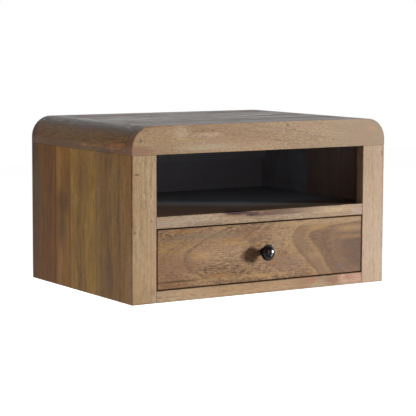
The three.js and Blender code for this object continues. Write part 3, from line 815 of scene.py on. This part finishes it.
for side, seed, pith in (("left", 4.0, (0.0, 0.290, 0.050)), ("right", 5.0, (0.0, -0.280, -0.020))):
    corner_block(side, mango(
        f"oiled_mango_{side}_corner_block", seed, ALONG_Y, pith, ((86, 57, 28), (126, 91, 50), (155, 119, 70)),
        (135, 91, 46), ring=0.0090, tilt=0.12, wander=0.008, lines=0.50, shine=0.5, satin=(0.27, 0.50),
        # the faces that look up are darkened to grey: painted sheen
        fleck_size=(0.020, 0.0030), flecks=0.70, bands=0.60, chroma=1.0, sides=[painted_sheen_on_top],
        swells=[((-0.290, pith[1], 0.024), (0.030, 0.3, 0.012), -0.016)],
        patches=[
            ((-0.300, pith[1] * 0.862, 0.010), (0.032, 0.1, 0.0070), 0.6, (186, 122, 62), 0.60),
            ((-0.236, pith[1] * 0.862, 0.008), (0.014, 0.1, 0.0040), 0.6, (170, 112, 56), 0.50),
            ((-0.190, pith[1] * 0.862, 0.007), (0.012, 0.1, 0.0016), 0.6, (206, 146, 92), 0.60),
            ((-0.095, pith[1] * 0.862, 0.003), (0.090, 0.1, 0.0080), 0.7, (100, 64, 32), 0.60),
            ((-0.130, pith[1] * 0.862, 0.024), (0.024, 0.1, 0.0040), 0.7, (128, 104, 58), 0.50),
            ((-0.006, pith[1] * 0.862, 0.010), (0.012, 0.1, 0.0300), 0.5, (66, 48, 44), 0.60),
            ((-0.170, pith[1] * 0.862, 0.022), (0.130, 0.1, 0.0070), 0.8, (146, 118, 90), 0.35),
            ((-0.070, pith[1] * 0.862, 0.008), (0.060, 0.1, 0.0060), 0.8, (116, 80, 36), 0.35),
        ],
    ))

# %% [markdown]
# ## Side panels
# Each side is glued up from staves between 30 and 90 mm wide, no two of them alike. On the inside, along the back, a
# rebate takes the back panel: it is planed away here with a Boolean and a block of the rebate's size.


# %% Side panels
play = 0.0003
back_low, back_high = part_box("back_panel")
rebate = ((back_low.x - play, back_low.y - play, back_low.z - play), (back_high.x + play, 0.01, 0.01))


def side_panel(side, finish):
    board = sawn_board(f"mango_{side}_side_panel", *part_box(f"{side}_side_panel"))
    cut_away(board, sawn_board("rebate_cutter", *rebate))
    print("faces after the rebate:", len(board.data.polygons))
    ease(board, outer_arris, f"{side}_stile", f"{side}_corner_block", "shelf_board", "bottom_board", "back_panel")
    hand_over(board, f"{side}_side_panel", finish)


side_tones = ((118, 82, 37), (160, 118, 62), (188, 147, 87)), (160, 116, 67)
inside = (160, 136, 136)
niche_shade_grey = (150, 155, 163)  # painted shade: a cool grey on all that lies deep in the niche's shade
side_panel("left", mango(
    "oiled_mango_left_side", 6.0, ALONG_Z, (0.0, -0.20, 0.200), *side_tones, ring=0.0110, lines=0.12,
    fleck_size=(0.040, 0.0070), flecks=0.36, streaks=0.10, bands=0.45, chroma=0.7,
    sides=[((1.0, 0.0, 0.0), inside, 0.7)],
    joints=(-0.313, -0.232, -0.144, -0.090, -0.045), swells=[((-0.215, -0.276, 0.25), (0.060, 0.016, 0.1), -0.020)],
    tints=(
        (1.08, 1.12, 1.08), (0.85, 0.89, 1.02), (1.04, 1.10, 0.94), (0.90, 0.78, 0.45), (0.61, 0.45, 0.24),
        (0.58, 0.48, 0.23),
    ),
    patches=[
        ((-0.200, -0.276, 0.25), (0.034, 0.012, 0.1), 0.6, (118, 88, 62), 0.60),
        ((-0.036, -0.103, 0.25), (0.036, 0.008, 0.1), 0.7, (190, 136, 72), 0.50),
        ((-0.205, -0.108, 0.25), (0.036, 0.008, 0.1), 0.8, (196, 142, 98), 0.50),
        ((-0.175, -0.130, 0.25), (0.034, 0.008, 0.1), 0.8, (182, 132, 80), 0.50),
        ((-0.055, -0.134, 0.25), (0.022, 0.008, 0.1), 0.7, (96, 76, 44), 0.60),
        ((-0.095, -0.116, 0.25), (0.020, 0.022, 0.1), 0.6, (94, 62, 36), 0.60),
        ((-0.140, -0.112, 0.25), (0.026, 0.016, 0.1), 0.6, (100, 82, 48), 0.55),
        ((-0.120, -0.0895, 0.25), (0.150, 0.0016, 0.1), 0.6, (88, 54, 36), 0.65),
        ((-0.020, -0.008, 0.25), (0.026, 0.010, 0.1), 0.5, (74, 54, 46), 0.60),
        ((-0.090, -0.024, 0.25), (0.060, 0.016, 0.1), 0.6, (100, 88, 60), 0.50),
        ((-0.195, -0.010, 0.25), (0.050, 0.014, 0.1), 0.6, (104, 64, 42), 0.60),
        ((-0.130, -0.318, 0.25), (0.060, 0.004, 0.1), 0.7, (166, 134, 96), 0.50),
        # painted shade: the rear of the inner face beside the niche, deep in shade, goes cool grey
        ((-0.060, -0.078, 0.225), (0.200, 0.084, 0.014), 0.12, niche_shade_grey, 0.85),
    ],
))
side_panel("right", mango(
    "oiled_mango_right_side", 7.0, ALONG_Z, (0.0, -0.16, -0.190), *side_tones, ring=0.0075, lines=0.35,
    fleck_size=(0.040, 0.0070), flecks=0.55, streaks=0.15, bands=0.55, chroma=0.8,
    sides=[((-1.0, 0.0, 0.0), inside, 0.7)],
    joints=(-0.254, -0.158, -0.092, -0.040),
    tints=((0.98, 1.02, 1.24), (1.0, 1.06, 1.24), (0.62, 0.70, 0.84), (0.76, 0.78, 0.86), (0.62, 0.62, 0.70)),
    patches=[
        ((-0.150, -0.240, -0.25), (0.045, 0.010, 0.1), 0.5, (122, 96, 76), 0.50),
        ((-0.060, -0.160, -0.25), (0.040, 0.007, 0.014), 0.5, (204, 150, 96), 0.55),
        ((-0.170, -0.150, -0.25), (0.026, 0.008, 0.1), 0.5, (112, 80, 58), 0.60),
        ((-0.090, -0.030, -0.25), (0.060, 0.012, 0.1), 0.5, (108, 84, 70), 0.50),
        # painted shade: the rear of the inner face beside the niche, deep in shade, goes cool grey
        ((-0.060, -0.078, -0.225), (0.200, 0.084, 0.014), 0.12, niche_shade_grey, 0.85),
    ],
))

# %% [markdown]
# ## Top board
# The top lies between the corner blocks, flush with them and with the rail, and is glued up from four staves.

# %% Top board
top = sawn_board("mango_top_board", *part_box("top_board"))
ease(top, outer_arris, "top_rail", "left_corner_block", "right_corner_block", "hanging_rail")
hand_over(top, "top_board", mango(
    "oiled_mango_top", 8.0, ALONG_X, (0.0, -0.16, -0.040), ((104, 78, 54), (140, 110, 80), (168, 138, 104)),
    # the faces that look up are darkened to grey: painted sheen
    (146, 104, 72), ring=0.0080, wander=0.009, shine=0.5, sides=[painted_sheen_on_top], satin=(0.24, 0.62), flecks=0.5,
    fleck_size=(0.040, 0.0030), streaks=0.5, bands=0.5, joints=(-0.252, -0.170, -0.083),
    tints=((0.92, 0.88, 0.84), (1.0, 0.98, 0.92), (0.84, 0.80, 0.78), (0.96, 0.92, 0.84)),
))

# %% [markdown]
# ## Shelf and bottom board
# Both are housed behind the stiles but come forward between them to show a 19 mm edge. A cube makes the wide part.
# Two marks at the stiles give its front face a middle field, and that field is extruded forward as the nose.


# %% Shelf and bottom board
def nosed_board(node, finish, rebated=False):
    low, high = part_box(node)
    stile_back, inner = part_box("left_stile")[1].y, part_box("left_stile")[1].x + play
    board = sawn_board("mango_" + node, (low.x, stile_back + play, low.z), high)
    split(board, inner, -inner)
    pick(board, "FACE", lambda f: f.normal.y < -0.9 and abs(f.calc_center_median().x) < abs(inner))
    bpy.ops.mesh.extrude_region_move(TRANSFORM_OT_translate={"value": (0, low.y - stile_back - play, 0)})
    bpy.ops.object.mode_set(mode="OBJECT")
    if rebated:
        cut_away(board, sawn_board("rebate_cutter", *rebate))
    ease(board, shelf_arris, "left_stile", "right_stile", "left_side_panel", "right_side_panel", "back_panel")
    hand_over(board, node, finish)


shelf_tones = ((126, 100, 73), (170, 145, 116), (201, 179, 150)), (180, 147, 118)
nosed_board("shelf_board", mango(
    "oiled_mango_shelf", 9.0, ALONG_X, (0.0, -0.300, -0.045), *shelf_tones, lines=0.35, wander=0.002, flecks=0.60,
    # painted shade: the upper face, the floor of the niche, is painted dark brown
    streaks=0.35, sides=[((0.0, 0.0, 1.0), (62, 42, 41), 0.8)],
    patches=[
        # painted shade: cool grey over the rear and the right of the niche floor, where the key's light does not reach
        ((0.0, -0.060, -0.101), (0.500, 0.120, 0.010), 0.45, niche_shade_grey, 0.75),
        ((0.130, -0.150, -0.101), (0.200, 0.130, 0.010), 0.40, niche_shade_grey, 0.75),
        ((0.0, -0.35, -0.111), (0.300, 0.02, 0.0200), 0.5, (158, 138, 112), 0.25),
        ((-0.165, -0.35, -0.112), (0.050, 0.02, 0.0080), 0.8, (172, 160, 142), 0.45),
        ((0.010, -0.35, -0.1045), (0.070, 0.02, 0.0066), 0.8, (108, 78, 52), 0.90),
        ((0.040, -0.35, -0.1085), (0.040, 0.02, 0.0018), 0.8, (112, 84, 62), 0.55),
        ((-0.050, -0.35, -0.1060), (0.030, 0.02, 0.0024), 0.7, (150, 110, 70), 0.60),
        ((0.002, -0.35, -0.1076), (0.028, 0.02, 0.0022), 0.7, (108, 74, 58), 0.90),
        ((-0.023, -0.35, -0.1060), (0.012, 0.02, 0.0030), 0.5, (66, 38, 32), 1.20),
        ((-0.053, -0.35, -0.1018), (0.023, 0.02, 0.0040), 0.4, (58, 32, 30), 1.30),
        ((0.150, -0.35, -0.1080), (0.030, 0.02, 0.0040), 0.8, (206, 180, 128), 0.50),
        ((0.192, -0.35, -0.1140), (0.012, 0.02, 0.0050), 0.7, (188, 168, 160), 0.50),
    ],
))
nosed_board("bottom_board", mango(
    "oiled_mango_bottom", 10.0, ALONG_X, (0.0, -0.290, -0.330), *shelf_tones, lines=0.25, wander=0.002,
    # painted shade: the upper face, seen only in the gap under the drawer, is painted near black
    sides=[((0.0, 0.0, 1.0), (50, 40, 38), 0.9)],
    patches=[
        ((0.0, -0.35, -0.229), (0.300, 0.02, 0.0300), 0.9, (172, 141, 98), 0.25),
        ((-0.150, -0.35, -0.229), (0.070, 0.02, 0.0120), 0.8, (204, 178, 142), 0.40),
        ((0.080, -0.35, -0.230), (0.018, 0.02, 0.0100), 0.8, (146, 104, 70), 0.55),
        ((0.100, -0.35, -0.224), (0.010, 0.02, 0.0050), 0.8, (172, 104, 78), 0.60),
        ((0.145, -0.35, -0.230), (0.016, 0.02, 0.0070), 0.8, (148, 98, 66), 0.75),
        ((0.166, -0.35, -0.227), (0.009, 0.02, 0.0080), 0.8, (222, 176, 150), 0.60),
        ((0.176, -0.35, -0.226), (0.008, 0.02, 0.0036), 0.8, (166, 98, 72), 0.60),
        ((0.192, -0.35, -0.229), (0.014, 0.02, 0.0090), 0.8, (212, 158, 134), 0.55),
        ((-0.040, -0.35, -0.229), (0.120, 0.02, 0.0090), 0.6, (190, 150, 98), 0.40),
    ],
), rebated=True)

# %% [markdown]
# ## Drawer front
# The show piece: one flat-sawn plank, cut where the tree forked, so its rings close into two great eyes. The plank is
# a little smaller than its opening all round and set back half a millimetre, and its four front arrises are eased.

# %% Drawer front
front_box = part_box("drawer_front")
front = sawn_board("mango_drawer_front", *front_box)
ease(front, front_arris, "drawer_inner_front")
hand_over(front, "drawer_front", mango(
    "oiled_mango_drawer_front", 11.0, ALONG_X, (0.0, -0.290, -0.176), ((96, 68, 41), (142, 112, 79), (175, 143, 103)),
    (149, 108, 68), front_box, tilt=0.20, wander=0.0016, curl=0.0006, lines=0.22, flecks=0.62,
    fleck_size=(0.009, 0.0018), streaks=0.20, bands=0.32, chroma=1.0,
    # painted shade: the edge faces are painted near black, so the gap round the drawer reads dark
    sides=[(way, (46, 36, 32), 0.9) for way in ((0, 0, 1), (0, 0, -1), (1, 0, 0), (-1, 0, 0))],
    swells=[
        ((0.085, -0.35, -0.131), (0.085, 0.06, 0.034), -0.0175),
        ((0.154, -0.35, -0.271), (0.071, 0.06, 0.0585), -0.0233),
        ((-0.016, -0.35, -0.154), (0.014, 0.06, 0.010), 0.008),
    ],
    zones=[
        (0.0450, 0.0012, (182, 146, 94), 0.35), (0.0420, 0.0010, (132, 100, 70), 0.65),
        (0.0362, 0.0010, (168, 130, 82), 0.45), (0.0336, 0.0010, (108, 76, 50), 0.72),
        (0.0290, 0.0020, (134, 102, 72), 0.40), (0.0265, 0.0060, (92, 64, 40), 0.72),
    ],
    years=[
        (0.0905, 0.0010, 0.85), (0.0960, 0.0005, 0.30), (0.0985, 0.0006, 0.35), (0.1040, 0.0006, 0.35),
        (0.1090, 0.0006, 0.35), (0.0420, 0.0007, 0.60), (0.0335, 0.0005, 0.45), (0.0300, 0.0005, 0.25),
        (0.0265, 0.0005, 0.25), (0.0235, 0.0005, 0.20),
    ],
    patches=[
        ((0.190, -0.35, -0.177), (0.034, 0.1, 0.0175), 0.18, (102, 73, 56), 0.50),
        ((0.168, -0.35, -0.181), (0.014, 0.1, 0.0050), 0.80, (132, 84, 54), 0.50),
        ((0.187, -0.35, -0.156), (0.030, 0.1, 0.0034), 0.90, (168, 128, 82), 0.45),
        ((0.090, -0.35, -0.195), (0.0014, 0.1, 0.0110), 0.60, (104, 78, 60), 0.50),
        ((0.190, -0.35, -0.203), (0.020, 0.1, 0.0060), 0.70, (105, 80, 47), 0.50),
        ((0.158, -0.35, -0.206), (0.009, 0.1, 0.0060), 0.60, (112, 92, 91), 0.50),
        ((0.115, -0.35, -0.127), (0.110, 0.1, 0.0045), 0.50, (184, 153, 110), 0.55),
        ((0.112, -0.35, -0.136), (0.018, 0.1, 0.0050), 0.70, (173, 134, 75), 0.60),
        ((0.180, -0.35, -0.141), (0.030, 0.1, 0.0050), 0.90, (186, 150, 98), 0.50),
        ((0.104, -0.35, -0.183), (0.012, 0.1, 0.0060), 0.80, (165, 132, 87), 0.60),
        ((0.052, -0.35, -0.192), (0.030, 0.1, 0.0120), 0.80, (147, 121, 100), 0.40),
        ((0.036, -0.35, -0.146), (0.022, 0.1, 0.0200), 0.80, (180, 149, 106), 0.50),
        ((-0.115, -0.35, -0.137), (0.072, 0.1, 0.0060), 0.60, (126, 111, 83), 0.55),
        ((-0.160, -0.35, -0.127), (0.024, 0.1, 0.0030), 0.60, (171, 124, 59), 0.60),
        ((-0.194, -0.35, -0.152), (0.012, 0.1, 0.0100), 0.80, (165, 130, 73), 0.50),
        ((-0.170, -0.35, -0.182), (0.034, 0.1, 0.0160), 0.80, (141, 107, 79), 0.50),
        ((-0.140, -0.35, -0.184), (0.022, 0.1, 0.0060), 0.80, (139, 94, 67), 0.45),
        ((-0.118, -0.35, -0.168), (0.018, 0.1, 0.0060), 0.80, (188, 149, 93), 0.55),
        ((-0.085, -0.35, -0.165), (0.050, 0.1, 0.0200), 0.80, (184, 153, 116), 0.50),
        ((-0.060, -0.35, -0.150), (0.020, 0.1, 0.0050), 0.80, (184, 142, 81), 0.50),
        ((-0.030, -0.35, -0.209), (0.100, 0.1, 0.0035), 0.50, (178, 142, 89), 0.60),
        ((-0.085, -0.35, -0.203), (0.022, 0.1, 0.0035), 0.70, (165, 119, 55), 0.55),
        ((-0.014, -0.35, -0.156), (0.0030, 0.1, 0.0040), 0.8, (164, 108, 50), 0.55),
        ((-0.010, -0.35, -0.148), (0.0090, 0.1, 0.0040), 0.7, (124, 92, 77), 0.60),
        ((-0.024, -0.35, -0.152), (0.0050, 0.1, 0.0080), 0.7, (128, 101, 75), 0.55),
        ((-0.165, -0.35, -0.207), (0.038, 0.1, 0.0016), 0.6, (71, 44, 29), 0.75),
    ],
))

# %% [markdown]
# ## The knob
# A turned iron knob, blackened and polished: a thin base flange, a waisted neck, a flared collar, a thin rim and a low
# dome. A lathe shapes such a thing ring by ring, and so does this: a disc is extruded forward again and again, and
# each new ring is scaled to the radius that the profile gives there.


# %% Knob
def turned_piece(name, centre, profile, facets=64):
    """Turns a profile of (length along the axis, radius) pairs about an axis that points out of the front."""
    start_clean()
    (length, radius), upright = profile[0], (radians(90), 0, 0)
    start = centre + Vector((0, -length, 0))
    bpy.ops.mesh.primitive_circle_add(
        vertices=facets, radius=radius, fill_type="NGON", location=start, rotation=upright,
    )
    piece = bpy.context.active_object
    bpy.ops.object.transform_apply(location=True, rotation=True, scale=True)
    piece.name = piece.data.name = name
    pick(piece, "FACE", lambda f: True)
    for (before, old), (after, new) in zip(profile, profile[1:]):
        bpy.ops.mesh.extrude_region_move(TRANSFORM_OT_translate={"value": (0, before - after, 0)})
        scale = new / old
        bpy.ops.transform.resize(value=(scale, 1, scale), center_override=centre + Vector((0, -after, 0)))
    bpy.ops.mesh.select_all(action="SELECT")
    bpy.ops.mesh.remove_doubles(threshold=1e-6)
    bpy.ops.mesh.normals_make_consistent(inside=False)
    bpy.ops.object.mode_set(mode="OBJECT")
    return piece


def arc(middle_length, middle_radius, across, start, end, steps, along=None):
    """Points of a quarter round or a dome, by the two half sizes and the angles in degrees."""
    along = across if along is None else along
    turns = [radians(start + (end - start) * i / steps) for i in range(steps + 1)]
    return [(middle_length + along * sin(t), middle_radius + across * cos(t)) for t in turns]


knob_low, knob_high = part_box("knob")
knob_centre = Vector((0.0, knob_high.y, (knob_low.z + knob_high.z) / 2))
knob_length, rim_radius = knob_high.y - knob_low.y, (knob_high.x - knob_low.x) / 2
profile = [(0.0, 0.0060), (0.0002, 0.0063), (0.0008, 0.0064), (0.0012, 0.0063), (0.0018, 0.0059)]
profile += [(0.0030, 0.0055), (0.0045, 0.0052), (0.0062, 0.0051), (0.0078, 0.0054), (0.0092, 0.0061)]
profile += [(0.0105, 0.0073), (0.0116, 0.0090), (0.0125, 0.0108), (0.0131, 0.0122)]
profile += arc(0.0145, rim_radius - 0.0010, 0.0010, -80, 88, 10)
profile += [(0.0153, 0.0122), (0.0149, 0.0118), (0.0149, 0.0115)]
profile += arc(0.0149, 0.0, 0.0114, 3, 88, 18, knob_length - 0.0149)
knob = turned_piece("turned_knob", knob_centre, profile)
print("knob", len(knob.data.polygons), "faces, length", round(1000 * knob_length, 1), "mm")

# %% [markdown]
# The iron is blackened all over, and only the dome, which fingers and cloths reach, has come to a polish.

# %% Blackened iron
iron, tree = open_finish("blackened_iron")
place = add_node(tree, "TexCoord", {})["Object"]
centred = add_node(tree, "Mapping", {"Vector": place, "Location": tuple(-knob_centre)})[0]
brushed = noise(centred * (500.0, 2500.0, 500.0), 1.0, 3.0)["Fac"]
rust = noise(centred * (220.0, 220.0, 220.0), 4.0, 3.0)["Fac"]
colour = mix_colour(fade(rust, 0.45, 0.70), paint((104, 104, 107)), paint((112, 105, 99)))
off_axis = maths("LENGTH", centred * (1.0, 0.0, 1.0))
along = parts(centred)["Y"]
on_dome = fade(off_axis, 0.0112, 0.0120, 1.0, 0.0) * fade(along, -0.0160, -0.0145, 1.0, 0.0)
colour = mix_colour(on_dome, paint((64, 66, 70)), colour)
polished = spread(brushed, 0.15, 0.24)
rough = fade(on_dome, 0.0, 1.0, 0.42, polished)
hand_over(knob, "knob", put_skin(iron, colour, rough, brushed, 0.15, 0.0001, Metallic=1.0))

# %% [markdown]
# ## Screws
# All the screws are zinc plated and countersunk, with a cross recess. One is modelled: a disc is turned to a head, a
# cone and a shank with its thread, and two crossed blades cut the recess. The rest are copies of it, each with its
# own mesh, stretched only along the shank and turned to the way that it is driven.

# %% Zinc plate
zinc, tree = open_finish("zinc_plate")
place = add_node(tree, "TexCoord", {})["Object"]
spangle = add_node(tree, "TexVoronoi", {"Vector": place, "Scale": 900.0})["Color"]
grey = channels(spangle)[0]
dull = noise(place * (300.0, 300.0, 300.0), 2.0, 3.0)["Fac"]
colour = mix_colour(fade(dull, 0.40, 0.70), paint((190, 194, 196)), paint((160, 158, 146)))
put_skin(zinc, colour, spread(grey, 0.26, 0.42), dull, 0.10, 0.0001, Metallic=1.0)


# %% One screw, and its copies
def lathe_screw(name, length, profile):
    """Turns a screw at the origin, with its head's face at y = 0 facing -Y, and cuts the cross recess."""
    piece = turned_piece(name, Vector((0, length, 0)), profile, facets=24)
    for turn in (0, 90):
        blade = sawn_board("recess_blade", (-0.0021, -0.001, -0.00045), (0.0021, 0.0014, 0.00045))
        bpy.ops.transform.rotate(value=radians(turn), orient_axis="Y", center_override=(0, 0, 0))
        bpy.ops.object.transform_apply(location=True, rotation=True, scale=True)
        cut_away(piece, blade)
    return piece


def threads(start, end, turns, core, crest):
    """The sawtooth outline of a thread's rings."""
    pitch = (end - start) / turns
    points = []
    for i in range(turns):
        points += [(start + pitch * i, core), (start + pitch * (i + 0.45), crest), (start + pitch * (i + 0.60), crest)]
    return points


screw_length = 0.015
screw_profile = [(0.0, 0.0003), (0.0018, 0.0011)] + threads(0.0020, 0.0115, 8, 0.00125, 0.00173)
screw_profile += [(0.0118, 0.00165), (0.0128, 0.00170), (0.01475, 0.00335), (screw_length, 0.00345)]
pattern_screw = lathe_screw("pattern_screw", screw_length, screw_profile)
print("pattern screw:", len(pattern_screw.data.polygons), "faces")


def drive_screw(node, way):
    """A copy of the pattern screw in place of a CAD screw. way is the direction in which it is driven."""
    low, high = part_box(node)
    axis = max(range(3), key=lambda i: abs(way[i]))
    head = (low + high) / 2
    head[axis] = low[axis] if way[axis] > 0 else high[axis]
    copy = pattern_screw.copy()
    copy.data = pattern_screw.data.copy()
    copy.name = copy.data.name = node + "_cut"
    bpy.context.scene.collection.objects.link(copy)
    stretch = Matrix.Scale((high[axis] - low[axis]) / screw_length, 4, Vector((0, 1, 0)))
    turn = Vector((0, 1, 0)).rotation_difference(Vector(way)).to_matrix().to_4x4()
    copy.data.transform(Matrix.Translation(head) @ turn @ stretch)
    hand_over(copy, node, zinc)


for side in ("left", "right"):
    for row in ("lower", "upper"):
        for use in ("hanger", "back", "front"):
            drive_screw(f"{use}_screw_{side}_{row}", (0, -1, 0))
    drive_screw(f"pull_stop_screw_{side}", (0, 0, 1))
bpy.data.objects.remove(pattern_screw)

# %% [markdown]
# ## What stays as the CAD made it
# The back panel, the hanging rail, the keyhole plates, the drawer box, its guides and stops and the dowels already
# have their true shape in the CAD. They keep it, holes, grooves and keyholes and all. A Weld and a small Bevel, left
# live on each but the dowels, ease their arrises, and each gets the finish of its own stuff, with painted shade on the
# faces of the back panel and the hanging rail that lie deep in the niche.


# %% Finishes of the inner parts
pine = ((176, 142, 100), (204, 174, 130), (222, 198, 158))
veneer = ((112, 86, 60), (142, 114, 84), (162, 134, 102))
beech = ((190, 152, 112), (212, 178, 136), (226, 198, 160))


def dress(names, finish, arris):
    for name in names:
        piece = nodes[name]
        piece.data.materials.clear()
        piece.data.materials.append(finish)
        if arris:
            weld = piece.modifiers.new("weld", "WELD")
            weld.merge_threshold = 0.00001
            soft = piece.modifiers.new("arris", "BEVEL")
            soft.width, soft.segments, soft.limit_method, soft.angle_limit = arris, 2, "ANGLE", radians(50)
    print(finish.name, "on", len(names), "carried nodes")


def dress_in_wood(names, slot, arris, title, seed, grain, pith, tones, **more):
    finish = mango(
        title, seed, grain, pith, tones, tones[1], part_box(names[0]), flecks=0.4, ends=None, **more,
    )
    dress(names, finish, arris)


# %% Dress the inner parts
to_front, dark_back = (0.0, -1.0, 0.0), {"ring": 0.020, "wander": 0.020, "lines": 0.2}
close_grown = {"ring": 0.004, "lines": 0.35}
dress_in_wood(
    ["back_panel"], "plywood", 0.0004, "sanded_plywood", 21.0, ALONG_X, (0.0, -0.5, -0.2), veneer,
    # painted shade: the front face, deep in the niche, goes cool grey
    sides=[(to_front, niche_shade_grey, 0.9)], **dark_back,
)
dress_in_wood(
    ["drawer_bottom"], "plywood", 0.0004, "sanded_plywood_drawer", 22.0, ALONG_X, (0.0, -0.2, -0.6), veneer,
    **dark_back,
)
dress_in_wood(
    ["hanging_rail"], "drawer_box_wood", 0.0006, "planed_rail_wood", 23.0, ALONG_X, (0.0, 0.04, -0.03), pine,
    # painted shade: the front and the underside, deep in the niche, go cool grey; on the underside this also hides a
    # pale line of light
    sides=[(to_front, niche_shade_grey, 0.9), ((0.0, 0.0, -1.0), niche_shade_grey, 0.9)], **close_grown,
)
for names, title, seed, grain, pith in (
    (["drawer_inner_front"], "planed_drawer_inner_front", 24.0, ALONG_X, (0.0, -0.30, -0.26)),
    (["drawer_back"], "planed_drawer_back", 25.0, ALONG_X, (0.0, 0.0, -0.25)),
    (["drawer_left_side"], "planed_drawer_left_side", 26.0, ALONG_Y, (0.0, 0.16, -0.24)),
    (["drawer_right_side"], "planed_drawer_right_side", 27.0, ALONG_Y, (0.0, -0.23, -0.14)),
    (["left_drawer_guide", "right_drawer_guide"], "planed_guide_wood", 28.0, ALONG_Y, (0.0, 0.0, -0.25)),
):
    dress_in_wood(names, "drawer_box_wood", 0.0006, title, seed, grain, pith, pine, **close_grown)
dress_in_wood(
    ["pull_stop", "left_closing_stop", "right_closing_stop"], "drawer_box_wood", 0.0005, "planed_stop_wood", 29.0,
    ALONG_X, (0.0, -0.27, -0.16), pine, ring=0.003,
)
dowels = [n for n in nodes if "dowel" in n]
dress_in_wood(dowels, "dowel_wood", 0, "turned_dowel_wood", 30.0, ALONG_X, origin, beech, ring=0.002, lines=0.2)
dress(["left_hanger_plate", "right_hanger_plate", "knob_screw"], zinc, 0.0002)

# %% [markdown]
# ## The size of the CAD model
# The looks may not make the piece bigger than its CAD model. The CAD model's box is printed.

# %% Print the CAD box
print("CAD box in mm:   ", [round(1000 * v, 2) for v in (*cad_low, *cad_high)])
